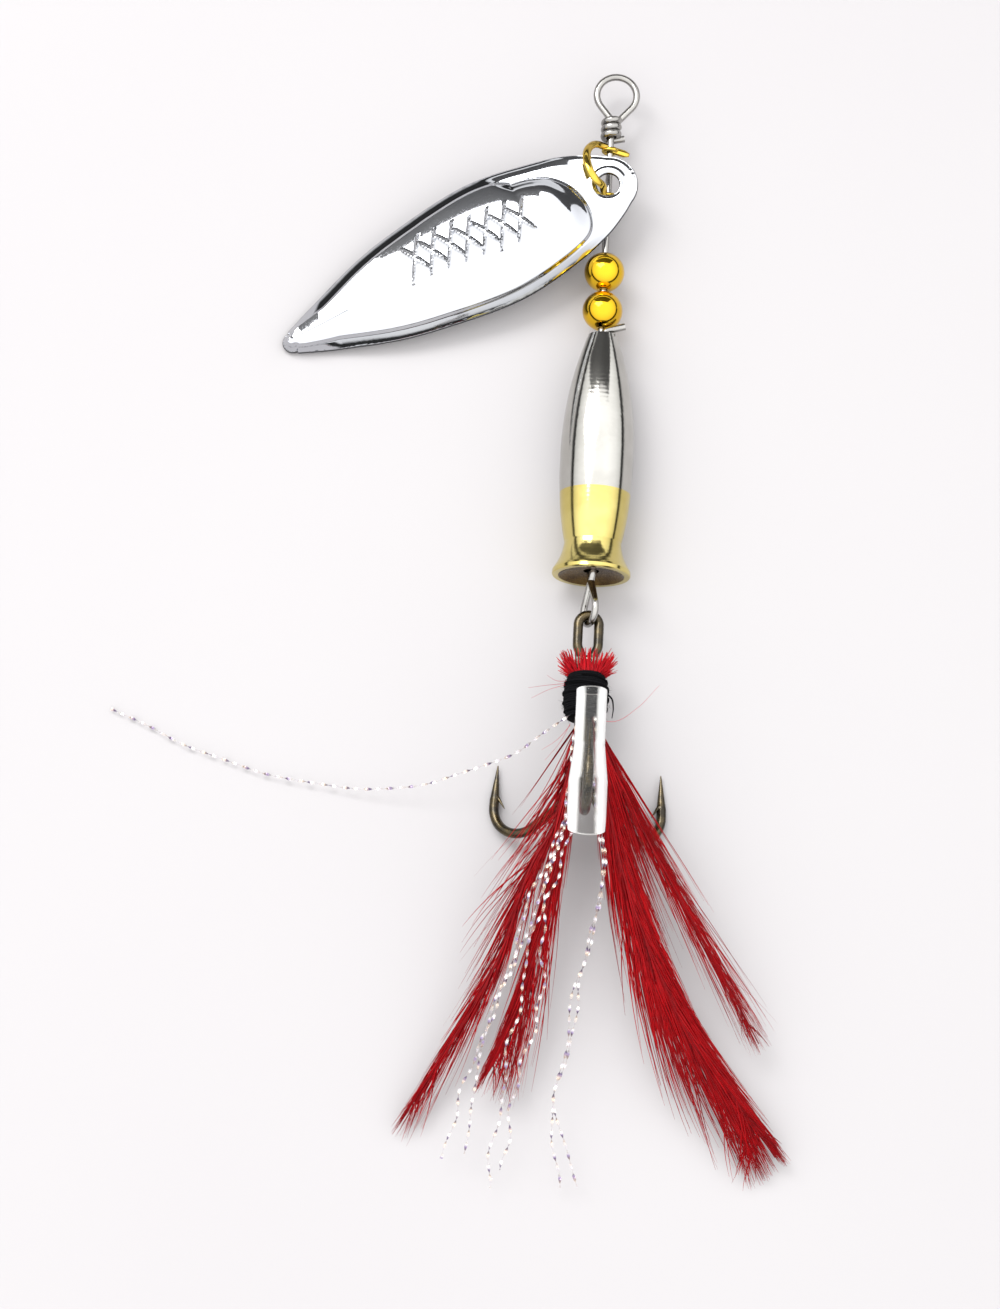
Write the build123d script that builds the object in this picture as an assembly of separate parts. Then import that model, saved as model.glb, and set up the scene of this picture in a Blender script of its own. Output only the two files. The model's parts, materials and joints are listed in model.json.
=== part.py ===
"""In-line spinner lure with a dressed treble hook, lying on a flat surface.

The shaft runs along Y, with the line eye at +Y and the hook at -Y. The origin is the centre of
the line eye. +Z is up, and all sizes are in millimetres.
"""
from build123d import *
from math import acos, asin, cos, degrees, radians, sin, tan
import os

# ---- driving dimensions --------------------------------------------------------------------
# shaft wire and its line eye
wire_diameter = 0.8
eye_inner_width = 3.8
eye_drop = 3.1              # eye centre to the first wrap
wrap_turns = 2.75
wrap_pitch = 0.82
wrap_tag_length = 1.6
shaft_offset = -0.45        # shaft axis beside the eye's centre
wire_side_gap = 0.05        # between the shaft and its returning end
loop_roll = 70.0            # rear loop's plane, turned up from flat
rear_loop_width = 4.0
rear_loop_reach = 5.9       # tail rim to the loop's outer end
nose_tag_length = 2.3

# clevis
clevis_wire = 0.9
clevis_eye_radius = 0.88
clevis_eye_thickness = 0.5
clevis_top = 6.95           # eye centre to the clevis's upper hole
clevis_span = 5.6           # upper hole to lower hole
clevis_reach = 2.75         # shaft axis to the bow's outermost stretch
clevis_rise = 3.2           # bow's height over the shaft

# blade
blade_length = 44.7
blade_width = 15.0
blade_thickness = 0.6
blade_hole = 2.8
blade_root_radius = 3.3
blade_angle = 60.5          # from the shaft's rearward direction
blade_height = 1.9          # hole over the shaft axis
blade_hole_behind = 11.9    # eye centre to the hole, along the shaft
blade_crown = 1.1

# beads
bead_diameter = 4.6
bead_flat = 0.75            # radius of the flat round each bore
bead_spacing = 4.7
bead_stand_off = 3.15       # nose to the lower bead's centre

# weighted body, in two turned pieces
nose_position = 29.65       # eye centre to the nose
head_length = 18.9
tail_length = 9.5
nose_radius = 1.65
belly_radius = 4.13
seam_radius = 4.0
waist_radius = 3.2
rim_radius = 4.4
spigot_radius = 2.4
spigot_length = 3.0
groove_depth = 0.12
rim_recess_depth = 0.6
rim_wall = 0.7

# treble hook
hook_wire = 1.1
hook_eye_width = 3.4
hook_eye_length = 4.6
hook_shank_length = 19.6    # rear loop to the start of the bends
hook_drop = 25.2            # rear loop to the bottom of the bends
arm_reach = 10.4            # each arm from its own shank wire
arm_lean = 0.6              # how far each point leans back to the shank
point_position = 15.6       # rear loop to the points
point_taper = 3.9
barb_length = 2.1
shank_bend = 6.0            # radius where the shank turns out
arm_bend = 3.2              # radius where the arm turns up
bend_overshoot = 1.55       # sharp corner of the bend, past its rounded bottom
barb_spread = 0.75
braze_radius = 1.5
braze_length = 2.6

# clear guard on the upper arm
guard_length = 17.0
guard_radius = 1.65
guard_flare_radius = 2.1
guard_wall = 0.42
guard_over_point = 4.3
guard_slide_room = 0.3

# dressing
wrap_length = 6.2
wrap_start = 4.9            # rear loop to the thread wrap
wrap_radius = 2.4
dressing_thickness = 0.8
tail_reach = 57.5           # rear loop to the longest feather's tip
tinsel_diameter = 0.3
stray_reach = 52.0          # how far sideways the long tinsel strand runs

# clearances
running_clearance = 0.07    # radial, between a wire and the hole that turns or slides on it
seat_clearance = 0.02       # radial, between parts that are pushed together
contact_clearance = 0.06    # between parts that rest against each other

# ---- derived places ------------------------------------------------------------------------
wire_radius = wire_diameter / 2
pair_half = (wire_diameter + wire_side_gap) / 2
roll_x = cos(radians(loop_roll))
roll_z = sin(radians(loop_roll))
body_x = shaft_offset + pair_half * roll_x
body_z = pair_half * roll_z
return_x = body_x + pair_half * roll_x
return_z = body_z + pair_half * roll_z
body_bore_radius = pair_half + wire_radius + running_clearance
seam_y = -nose_position - head_length
rim_y = seam_y - tail_length
loop_radius = (rear_loop_width - wire_diameter) / 2
loop_end_y = rim_y - rear_loop_reach + wire_radius
loop_centre_y = loop_end_y + loop_radius
floor_z = body_z - rim_radius
clevis_upper_y = -clevis_top
clevis_lower_y = -clevis_top - clevis_span
hole_centre = (shaft_offset - 0.15, -blade_hole_behind, blade_height)
lower_bead_y = -nose_position + bead_stand_off
upper_bead_y = lower_bead_y + bead_spacing
hook_radius = hook_wire / 2
eye_bar_offset = hook_radius + wire_radius + contact_clearance
hook_eye_radius = (hook_eye_width - hook_wire) / 2
shank_half = hook_radius + seat_clearance
third_wire_z = (hook_wire + 2 * seat_clearance) * cos(radians(30))
bundle_z = third_wire_z / 3
lower_arm_x = shank_half + arm_reach * cos(radians(30))
arm_foot_y = -point_position - point_taper
arm_foot_lean = arm_lean * (hook_drop - point_position - point_taper) / (hook_drop - point_position)
arm_foot_drop = (arm_reach - arm_foot_lean) / 2 + hook_radius + contact_clearance
hook_pitch = degrees(asin((arm_foot_drop - rim_radius) / -arm_foot_y))


def along_y(radius, y_high, y_low, x=0.0, z=0.0):
    """A round bar along Y from y_low to y_high."""
    bar = Cylinder(radius, y_high - y_low, rotation=(90, 0, 0))
    return Pos(x, (y_high + y_low) / 2, z) * bar


def sweep_round(radius, path):
    """A round wire of the given radius along a path."""
    start = path @ 0
    section = Plane(origin=start, z_dir=path % 0) * Circle(radius)
    return sweep(section, path=path)


def turned(profile, x, z):
    """A solid turned about the Y axis, from a closed profile in the XY plane."""
    return Pos(x, 0, z) * revolve(make_face(profile), axis=Axis.Y)


def on_hook(shape):
    """A shape made about the rear loop, put in its place with the hook's pitch."""
    return Pos(body_x, loop_end_y, body_z) * Rot(-hook_pitch, 0, 0) * shape


# ---- shaft wire ----------------------------------------------------------------------------
def tangent_point(centre, radius, outside, side):
    """Where a line from an outside point touches a circle, on the side of +X (1) or -X (-1)."""
    towards = outside - centre
    turn = side * degrees(acos(radius / towards.length))
    return centre + towards.normalized().rotate(Axis.Z, turn) * radius


def shaft_path():
    """The wire's whole run, from the line eye down the shaft, round the rear loop to the nose."""
    eye_radius = (eye_inner_width + wire_diameter) / 2
    centre = Vector(0, 0, 0)
    neck = Vector(shaft_offset, -eye_drop, 0)
    wrap_top = coil_start()
    left_touch = tangent_point(centre, eye_radius, neck, -1)
    right_touch = tangent_point(centre, eye_radius, wrap_top, 1)
    eye = ThreePointArc(right_touch, (0, eye_radius, 0), left_touch)
    # across the rear loop, seen from the middle of the two wires
    across = Vector(roll_x, 0, roll_z)
    middle = Vector(body_x, 0, body_z)

    def place(offset, y):
        return middle + across * offset + Vector(0, y, 0)

    leg_y = loop_centre_y + 2.6 * loop_radius
    flat_touch = tangent_point(Vector(0, loop_centre_y), loop_radius, Vector(pair_half, leg_y), 1)
    main_touch = place(-flat_touch.X, flat_touch.Y)
    return_touch = place(flat_touch.X, flat_touch.Y)
    bend = 2 * wire_diameter
    down = FilletPolyline(left_touch, neck, place(-pair_half, leg_y), main_touch,
                          radius=[bend, bend])
    loop = ThreePointArc(main_touch, place(0, loop_end_y), return_touch)
    tag_y = -nose_position + wire_radius + contact_clearance
    tag_end = Vector(return_x + nose_tag_length, tag_y + 0.3 * nose_tag_length, return_z)
    back = FilletPolyline(return_touch, place(pair_half, leg_y), place(pair_half, tag_y), tag_end,
                          radius=[bend, 0.75 * wire_diameter])
    return Line(wrap_top, right_touch) + eye + down + loop + back


def coil_start():
    """Where the wraps begin, beside the shaft."""
    return Vector(shaft_offset + wire_diameter + seat_clearance, -eye_drop, 0)


def wire_shaft():
    """One wire: line eye, wraps, shaft, rear loop and the end that returns to the nose."""
    coil_plane = Plane(origin=(shaft_offset, -eye_drop, 0), x_dir=(1, 0, 0), z_dir=(0, -1, 0))
    coil_radius = coil_start().X - shaft_offset
    coil_path = coil_plane * Helix(wrap_pitch, wrap_turns * wrap_pitch, coil_radius)
    tag_start = coil_path @ 1
    tag_end = tag_start + Vector(wrap_tag_length, 0.25 * wrap_tag_length, 0)
    wire = sweep_round(wire_radius, shaft_path())
    for end in (coil_path @ 0, tag_start):
        wire += Pos(*tuple(end)) * Sphere(wire_radius)
    return wire + sweep_round(wire_radius, coil_path) + sweep_round(wire_radius, Line(tag_start, tag_end))


# ---- clevis --------------------------------------------------------------------------------
def clevis():
    """The folded strap that holds the blade and turns on the shaft."""
    radius = clevis_wire / 2
    bow_x = shaft_offset - clevis_reach
    enter_x = hole_centre[0] - 0.35
    route = [
        (shaft_offset + 1.9, clevis_upper_y - 0.45, 0.0),
        (shaft_offset - 1.2, clevis_upper_y + 0.35, 0.15),
        (bow_x + 0.1, clevis_upper_y - 0.35, 1.7),
        (bow_x, clevis_upper_y - 0.55 * clevis_span, clevis_rise + 0.15),
        (enter_x - 0.55, clevis_lower_y + 0.3, clevis_rise),
        (enter_x + 0.1, clevis_lower_y, 0.35),
    ]
    path = FilletPolyline(*route, radius=[0.9, 1.0, 1.6, 0.8])
    bow = sweep_round(radius, path)
    eyes = [along_y(clevis_eye_radius, y + clevis_eye_thickness / 2, y - clevis_eye_thickness / 2,
                    x=shaft_offset) for y in (clevis_upper_y, clevis_lower_y)]
    bore = along_y(wire_radius + running_clearance, 0, -nose_position, x=shaft_offset)
    return bow + eyes - bore


# ---- blade ---------------------------------------------------------------------------------
def blade_plane():
    """The plane of the blade: its own X runs from the hole to the tip, its Z is the top face."""
    tip_drop = hole_centre[2] - (floor_z + blade_thickness / 2 + contact_clearance)
    slope = asin(tip_drop / (blade_length - blade_root_radius))
    turn = radians(blade_angle)
    to_tip = Vector(-sin(turn) * cos(slope), -cos(turn) * cos(slope), -sin(slope))
    across = Vector(-cos(turn), sin(turn), 0)
    return Plane(origin=hole_centre, x_dir=to_tip, z_dir=across.cross(to_tip))


def blade_outline():
    """The leaf outline, from a round root past its widest stretch to a small round tip."""
    reach = blade_length - blade_root_radius
    half = blade_width / 2
    tip_radius = 1.1
    # how wide the leaf is, as a share of its half width, along the way to the tip
    shares = ((0.13, 0.79), (0.35, 1.0), (0.6, 0.84), (0.86, 0.42))

    def edge(side):
        spots = [(share * reach, side * width * half) for share, width in shares]
        return Spline((0, side * blade_root_radius), *spots, (reach - 0.6 * tip_radius, side * tip_radius))

    upper, lower = edge(1), edge(-1)
    tip = ThreePointArc((reach - 0.6 * tip_radius, tip_radius), (reach, 0),
                        (reach - 0.6 * tip_radius, -tip_radius))
    root = ThreePointArc((0, blade_root_radius), (-blade_root_radius, 0), (0, -blade_root_radius))
    return make_face([upper, tip, lower, root])


def blade():
    """The blade: a thin leaf, crowned behind its flat root, with the clevis hole."""
    reach = blade_length - blade_root_radius
    flat_end = 1.35 * blade_root_radius
    run = reach - flat_end
    sphere_radius = ((run / 2) ** 2 + blade_crown ** 2) / (2 * blade_crown)
    half = blade_thickness / 2
    # side view: flat root, then a long low crown, as a band of the blade's thickness
    centre_x = flat_end + run / 2
    top = ThreePointArc((flat_end, half), (centre_x, half + blade_crown), (reach, half))
    bottom = ThreePointArc((reach, -half), (centre_x, blade_crown - half), (flat_end, -half))
    band = make_face([
        Line((-blade_length, half), (flat_end, half)), top,
        Line((reach, half), (reach, -half)), bottom,
        Line((flat_end, -half), (-blade_length, -half)),
        Line((-blade_length, -half), (-blade_length, half))])
    side = Rot(90, 0, 0) * extrude(band, amount=blade_width, both=True)
    leaf = extrude(blade_outline(), amount=blade_width, both=True)
    hole = Cylinder(blade_hole / 2, blade_width)
    return blade_plane().location * ((leaf & side) - hole)


# ---- beads ---------------------------------------------------------------------------------
def bead(y):
    """A turned bead on the shaft, with a small flat round its bore."""
    radius = bead_diameter / 2
    half = (radius ** 2 - bead_flat ** 2) ** 0.5
    ball = Sphere(radius) & Box(bead_diameter, 2 * half, bead_diameter)
    ball -= along_y(wire_radius + running_clearance, radius, -radius)
    return Pos(shaft_offset, y, 0) * ball


# ---- weighted body -------------------------------------------------------------------------
def body_head():
    """The plated front of the body, bored for both wires and socketed for the tail."""
    nose_y = -nose_position
    belly_y = nose_y - 0.8 * head_length
    shoulder_y = nose_y - 0.4 * head_length
    shoulder_radius = nose_radius + 0.79 * (belly_radius - nose_radius)
    socket_y = seam_y + spigot_length + contact_clearance
    socket_radius = spigot_radius + seat_clearance
    mouth_radius = nose_radius - 0.4
    profile = [
        Line((mouth_radius, nose_y), (nose_radius, nose_y)),
        ThreePointArc((nose_radius, nose_y), (shoulder_radius, shoulder_y), (belly_radius, belly_y)),
        ThreePointArc((belly_radius, belly_y),
                      ((belly_radius + seam_radius) / 2 + 0.04, (belly_y + seam_y) / 2),
                      (seam_radius, seam_y)),
        Polyline((seam_radius, seam_y), (socket_radius, seam_y), (socket_radius, socket_y),
                 (body_bore_radius, socket_y), (body_bore_radius, nose_y - 0.6),
                 (mouth_radius, nose_y)),
    ]
    return turned(profile, body_x, body_z)


def body_tail():
    """The brass tail, waisted, with a flared rim, a shallow rear recess and a spigot."""
    waist_y = seam_y - 0.6 * tail_length
    flare_y = rim_y + 0.75
    band_y = rim_y + 0.5
    face_y = rim_y + rim_recess_depth
    groove_y = seam_y - 0.49 * tail_length
    profile = [
        Polyline((body_bore_radius, seam_y + spigot_length), (spigot_radius, seam_y + spigot_length),
                 (spigot_radius, seam_y), (seam_radius, seam_y)),
        ThreePointArc((seam_radius, seam_y),
                      ((seam_radius + waist_radius) / 2 + 0.12, (seam_y + waist_y) / 2),
                      (waist_radius, waist_y)),
        ThreePointArc((waist_radius, waist_y),
                      (waist_radius + 0.27 * (rim_radius - waist_radius), (waist_y + flare_y) / 2),
                      (rim_radius - 0.12, flare_y)),
        Polyline((rim_radius - 0.12, flare_y), (rim_radius, band_y), (rim_radius, rim_y + 0.12),
                 (rim_radius - 0.12, rim_y), (rim_radius - rim_wall, rim_y)),
        ThreePointArc((rim_radius - rim_wall, rim_y), (0.6 * rim_radius, face_y - 0.15),
                      (body_bore_radius, face_y)),
        Line((body_bore_radius, face_y), (body_bore_radius, seam_y + spigot_length)),
    ]
    groove_radius = (seam_radius + waist_radius) / 2 + 0.07
    groove = Pos(0, groove_y, 0) * Rot(90, 0, 0) * Torus(groove_radius + groove_depth, groove_depth)
    return turned(profile, body_x, body_z) - Pos(body_x, 0, body_z) * groove


# ---- treble hook, made about the rear loop with its shank down -Y ---------------------------
def arm_points(foot, turn):
    """The corners of one arm, from its shank round the bend to the taper, then its point."""
    out = Vector(sin(radians(turn)), 0, cos(radians(turn)))
    foot = Vector(foot[0], 0, foot[1])
    bend = foot + Vector(0, -hook_shank_length, 0)
    corner = foot + out * arm_reach + Vector(0, -hook_drop - bend_overshoot, 0)
    tip = foot + out * (arm_reach - arm_lean) + Vector(0, -point_position, 0)
    taper = tip - (tip - corner).normalized() * point_taper
    return [bend, corner, taper], tip, out


def arm_tip(start, tip, out):
    """The tapered point and the barb that stands in towards the shank."""
    way = tip - start
    cone = Plane(origin=start, z_dir=way).location * Cone(
        hook_radius, 0.06, way.length, align=(Align.CENTER, Align.CENTER, Align.MIN))
    barb_foot = start + way * 0.12 - out * (0.35 * hook_radius)
    barb_end = start - Vector(0, 0.55 * barb_length, 0) - out * (hook_radius + barb_spread)
    barb_way = barb_end - barb_foot
    barb = Plane(origin=barb_foot, z_dir=barb_way).location * Cone(
        0.45 * hook_radius, 0.04, barb_way.length, align=(Align.CENTER, Align.CENTER, Align.MIN))
    return cone + barb


def hook_arm(foot, turn, top):
    """One arm of the hook with its shank wire, from the point to the shank's top corners."""
    corners, tip, out = arm_points(foot, turn)
    path = FilletPolyline(*top, *corners, radius=[*([1.5] * (len(top) - 1)), shank_bend, arm_bend])
    return sweep_round(hook_radius, path) + arm_tip(corners[-1], tip, out)


def hook_eye_tops(side):
    """The corners of one shank wire, from the eye's widest stretch down to the shank."""
    neck_y = -hook_eye_length + 0.6
    return [(side * hook_eye_radius, eye_centre_y(), 0), (side * hook_eye_radius, neck_y + 1.3, 0),
            (side * shank_half, neck_y, 0)]


def eye_centre_y():
    """The centre of the hook eye's round top, seen from the rear loop's wire."""
    return eye_bar_offset - hook_eye_radius


def hook_double():
    """One wire bent into the eye, with a barbed arm down each side."""
    arms = [hook_arm((side * shank_half, 0), side * 120, hook_eye_tops(side)) for side in (-1, 1)]
    top = CenterArc((0, eye_centre_y(), 0), hook_eye_radius, 0, 180)
    return on_hook(arms[0] + arms[1] + sweep_round(hook_radius, top))


def hook_single():
    """The third arm, laid on the other two and brazed to them."""
    start = (0, -hook_eye_length - 0.4, third_wire_z)
    return on_hook(hook_arm((0, third_wire_z), 0, [start]))


def hook_braze(wires):
    """The silvery filler that joins the three wires below the eye."""
    top_y = -hook_eye_length + 0.5
    bead_of_metal = along_y(braze_radius, top_y, top_y - braze_length, z=bundle_z)
    bead_of_metal = fillet(bead_of_metal.edges().filter_by(GeomType.CIRCLE), 0.5)
    return on_hook(bead_of_metal) - wires


def thread_wrap():
    """The barrel of black thread that ties the dressing to the shank."""
    inner = shank_half + hook_radius + 0.12
    low = -wrap_start - wrap_length
    shoulder = wrap_radius - 0.45
    start = -wrap_start - braze_seat()
    profile = [
        Line((inner, start), (shoulder, start)),
        ThreePointArc((shoulder, start), (wrap_radius, (start + low) / 2 + 0.6), (shoulder - 0.1, low)),
        Polyline((shoulder - 0.1, low), (inner, low), (inner, start)),
    ]
    return on_hook(turned(profile, 0, bundle_z))


def braze_seat():
    """How far the braze reaches past the thread wrap's nominal start."""
    return max(0.0, hook_eye_length - 0.5 + braze_length - wrap_start) + contact_clearance


# ---- point guard ---------------------------------------------------------------------------
def point_guard():
    """The clear tube over the upper arm, flared over the barb, with a slanted lower mouth."""
    flare_start = 0.36 * guard_length
    flare_end = 0.6 * guard_length

    def shell(radius_top, radius_low):
        return [(radius_top, 0), (radius_top, -flare_start), (radius_low, -flare_end),
                (radius_low, -guard_length)]

    outer = shell(guard_radius, guard_flare_radius)
    inner = shell(guard_radius - guard_wall, guard_flare_radius - guard_wall)
    tube = revolve(make_face(Polyline(*outer, *reversed(inner), close=True)), axis=Axis.Y)
    top_y = -point_position + guard_over_point
    arm_z = third_wire_z + arm_reach - arm_lean / 2
    mouth_start = -hook_shank_length - top_y + 1.1
    cutter = make_face(Polyline(
        (mouth_start, -2 * guard_flare_radius), (mouth_start, -0.6 * guard_flare_radius),
        (-guard_length + 1.2, 0.35 * guard_flare_radius),
        (-guard_length - 1, 2 * guard_flare_radius),
        (-guard_length - 1, -2 * guard_flare_radius), close=True))
    mouth = Plane(origin=(0, 0, 0), x_dir=(0, 1, 0), z_dir=(1, 0, 0)).location * extrude(
        cutter, amount=2 * guard_flare_radius, both=True)
    return on_hook(Pos(0, top_y, arm_z) * (tube - mouth))


# ---- dressing ------------------------------------------------------------------------------
def droop_band(layer):
    """The side view of a plume: level past the bends, then curving down to the surface."""
    start = -wrap_start - wrap_length - contact_clearance
    level = -hook_drop - 1.5
    end = -tail_reach
    base = 0.05 + layer * (dressing_thickness + 0.2)
    drop = arm_reach / 2 + hook_radius
    slope = tan(radians(hook_pitch))
    end_z = base - drop - (tail_reach - hook_drop) * slope * 0.9
    thick = dressing_thickness
    middle_y = (level + end) / 2
    middle_z = base + 0.36 * (end_z - base)
    upper = ThreePointArc((level, base + thick), (middle_y, middle_z + thick), (end, end_z + thick))
    lower = ThreePointArc((end, end_z), (middle_y, middle_z), (level, base))
    band = make_face([
        Line((start, base + thick), (level, base + thick)), upper,
        Line((end, end_z + thick), (end, end_z)), lower,
        Line((level, base), (start, base)), Line((start, base), (start, base + thick))])
    upright = Plane(origin=(0, 0, 0), x_dir=(0, 1, 0), z_dir=(1, 0, 0))
    return upright.location * extrude(band, amount=60, both=True)


def plume(layer, near_edge, far_edge):
    """A feather as a thin closed solid between two curved edges in plan."""
    outline = make_face([
        Spline(*near_edge), Line(near_edge[-1], far_edge[-1]), Spline(*reversed(far_edge)),
        Line(far_edge[0], near_edge[0])])
    slab = extrude(outline, amount=60, both=True)
    return on_hook(slab & droop_band(layer))


def dressing_start():
    """The level of the feather quills, just past the thread wrap."""
    return -wrap_start - wrap_length - contact_clearance


def left_feathers():
    """The two feathers that fan out on the blade's side."""
    top = dressing_start()
    bend = -hook_drop
    outer_length = 0.98 * tail_reach
    inner_length = 0.9 * tail_reach
    outer = plume(0,
                  [(-1.35, top), (-2.6, bend), (-6.0, -0.62 * tail_reach), (-16.0, -outer_length)],
                  [(-2.0, top), (-5.6, bend), (-12.5, -0.68 * tail_reach), (-18.5, -outer_length)])
    inner = plume(1,
                  [(-1.0, top), (-1.7, bend), (-3.2, -0.62 * tail_reach), (-7.8, -inner_length)],
                  [(-1.8, top), (-4.6, bend), (-8.0, -0.68 * tail_reach), (-10.4, -inner_length)])
    return outer, inner


def right_feathers():
    """The two feathers that fan out away from the blade."""
    top = dressing_start()
    bend = -hook_drop
    inner_length = 0.95 * tail_reach
    outer = plume(0,
                  [(1.35, top), (3.4, bend), (7.6, -0.62 * tail_reach), (19.5, -tail_reach)],
                  [(2.0, top), (8.6, bend), (17.0, -0.7 * tail_reach), (25.3, -tail_reach)])
    inner = plume(1,
                  [(1.0, top), (1.7, bend), (3.4, -0.62 * tail_reach), (9.0, -inner_length)],
                  [(1.8, top), (5.4, bend), (9.5, -0.68 * tail_reach), (13.0, -inner_length)])
    return outer, inner


def feather_butts():
    """The clipped red ends that stand out round the shank above the thread wrap."""
    top = -hook_eye_length + 0.45
    low = -wrap_start - braze_seat() + contact_clearance
    inner = braze_radius + seat_clearance
    profile = Polyline((inner, top - 0.5), (inner + 1.0, top + 0.6), (inner + 1.35, top - 0.2),
                       (inner + 0.55, low), (inner, low), close=True)
    return on_hook(turned(profile, 0, bundle_z))


def strand(points):
    """One strand of tinsel along a gentle route of straight runs and wide arcs."""
    spots = [Vector(*point) for point in points]
    radii = []
    for before, here, after in zip(spots, spots[1:], spots[2:]):
        turn = radians((here - before).get_angle(after - here))
        run = min((here - before).length, (after - here).length)
        radii.append(0.42 * run / tan(turn / 2))
    return sweep_round(tinsel_diameter / 2, FilletPolyline(*points, radius=radii))


def tinsel_strands():
    """Three groups: strands on the blade's side, strands down the middle, and a long stray one."""
    top = dressing_start() - 0.1
    level = 2 * (dressing_thickness + 0.2) + 0.35
    bend = -hook_drop - 3.0

    def low(y):
        """A height over the drooping feathers and above the surface."""
        share = (y - bend) / (-tail_reach - bend)
        fall = arm_reach / 2 + hook_radius + (tail_reach - hook_drop) * tan(radians(hook_pitch)) * 0.9
        return level + 0.25 - share * fall * (0.35 + 0.5 * share)

    left = [strand([(-0.9 - 0.3 * i, top, level - 0.25), (-2.2 - 0.9 * i, bend + 2.0, level),
                    (-3.2 - 1.9 * i, -0.65 * tail_reach, low(-0.65 * tail_reach)),
                    (end_x, end_y, low(end_y))])
            for i, (end_x, end_y) in enumerate(((-6.8, -1.02 * tail_reach), (-8.3, -1.07 * tail_reach),
                                                (-13.6, -1.01 * tail_reach)))]
    middle = [strand([(0.95 + 0.35 * i, top, level - 0.25), (1.9 + 0.5 * i, bend + 2.0, level),
                      (0.4 + 0.9 * i, -0.65 * tail_reach, low(-0.65 * tail_reach)),
                      (end_x, end_y, low(end_y))])
              for i, (end_x, end_y) in enumerate(((-0.6, -1.07 * tail_reach), (2.3, -1.06 * tail_reach)))]
    reach = stray_reach
    stray = strand([(-1.9, top, level - 0.6), (-5.5, top - 2.5, level - 0.9),
                    (-0.27 * reach, top - 6.3, level - 2.0), (-0.42 * reach, top - 6.6, level - 4.0),
                    (-0.62 * reach, top - 4.8, level - 5.0), (-0.82 * reach, top - 0.8, level - 5.2),
                    (-reach, top + 4.0, level - 5.0)])
    return (Compound(children=[on_hook(item) for item in left]),
            Compound(children=[on_hook(item) for item in middle]), on_hook(stray))


def main():
    """Builds every part and writes one file for each."""
    os.makedirs("parts", exist_ok=True)
    double, single = hook_double(), hook_single()
    left_outer, left_inner = left_feathers()
    right_outer, right_inner = right_feathers()
    tinsel_left, tinsel_middle, tinsel_stray = tinsel_strands()
    parts = {
        "wire_shaft": wire_shaft(), "clevis": clevis(), "blade": blade(),
        "upper_bead": bead(upper_bead_y), "lower_bead": bead(lower_bead_y),
        "body_head": body_head(), "body_tail": body_tail(),
        "hook_double": double, "hook_single": single, "hook_braze": hook_braze([double, single]),
        "point_guard": point_guard(), "thread_wrap": thread_wrap(),
        "feather_left_outer": left_outer, "feather_left_inner": left_inner,
        "feather_right_outer": right_outer, "feather_right_inner": right_inner,
        "feather_butts": feather_butts(), "tinsel_left": tinsel_left,
        "tinsel_middle": tinsel_middle, "tinsel_stray": tinsel_stray,
    }
    for name, shape in parts.items():
        export_step(shape, f"parts/{name}.step")


main()
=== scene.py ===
"""Looks of an in-line spinner lure with a dressed treble hook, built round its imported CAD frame.

Sizes are in millimetres until a piece is made, and Axes.place turns them into metres.
"""
import json
import logging
import math
from dataclasses import dataclass, field
from enum import Enum

import bpy
import numpy as np
from mathutils import Matrix, Vector


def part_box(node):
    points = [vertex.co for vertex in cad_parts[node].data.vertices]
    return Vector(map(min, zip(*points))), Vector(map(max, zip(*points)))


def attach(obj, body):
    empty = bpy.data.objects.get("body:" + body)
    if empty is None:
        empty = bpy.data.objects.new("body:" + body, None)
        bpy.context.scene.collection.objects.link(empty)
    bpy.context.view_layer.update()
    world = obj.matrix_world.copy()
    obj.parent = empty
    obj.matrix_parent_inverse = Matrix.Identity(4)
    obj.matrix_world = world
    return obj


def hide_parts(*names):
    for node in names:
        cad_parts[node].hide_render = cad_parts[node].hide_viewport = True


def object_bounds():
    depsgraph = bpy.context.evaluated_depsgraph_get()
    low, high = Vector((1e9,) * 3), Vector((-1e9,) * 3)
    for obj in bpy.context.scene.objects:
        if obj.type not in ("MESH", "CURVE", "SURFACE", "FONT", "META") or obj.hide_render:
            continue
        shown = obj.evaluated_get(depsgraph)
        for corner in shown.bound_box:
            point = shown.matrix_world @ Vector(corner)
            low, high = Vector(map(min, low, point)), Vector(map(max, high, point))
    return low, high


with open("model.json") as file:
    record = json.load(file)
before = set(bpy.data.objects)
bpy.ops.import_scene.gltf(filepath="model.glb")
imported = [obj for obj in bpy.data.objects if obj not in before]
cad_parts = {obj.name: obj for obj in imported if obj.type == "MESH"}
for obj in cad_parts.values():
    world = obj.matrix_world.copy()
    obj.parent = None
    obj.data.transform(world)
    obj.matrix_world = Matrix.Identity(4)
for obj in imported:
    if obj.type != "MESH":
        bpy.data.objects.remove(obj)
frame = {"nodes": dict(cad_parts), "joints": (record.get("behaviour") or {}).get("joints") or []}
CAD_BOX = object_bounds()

log = logging.getLogger("spinner")
MM = 0.001
Points = list[tuple[float, ...]]


class Body(Enum):
    """The moving bodies that pieces ride on."""

    CLEVIS = "clevis"
    BLADE = "blade"
    HOOK = "hook"


class Slot(Enum):
    """The record's material slots, named for each new piece."""

    BLADE = "blade"
    BRASS = "brass"
    THREAD = "thread"
    FEATHER = "feather"
    TINSEL = "tinsel"


# ---- geometry ------------------------------------------------------------------------------


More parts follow.
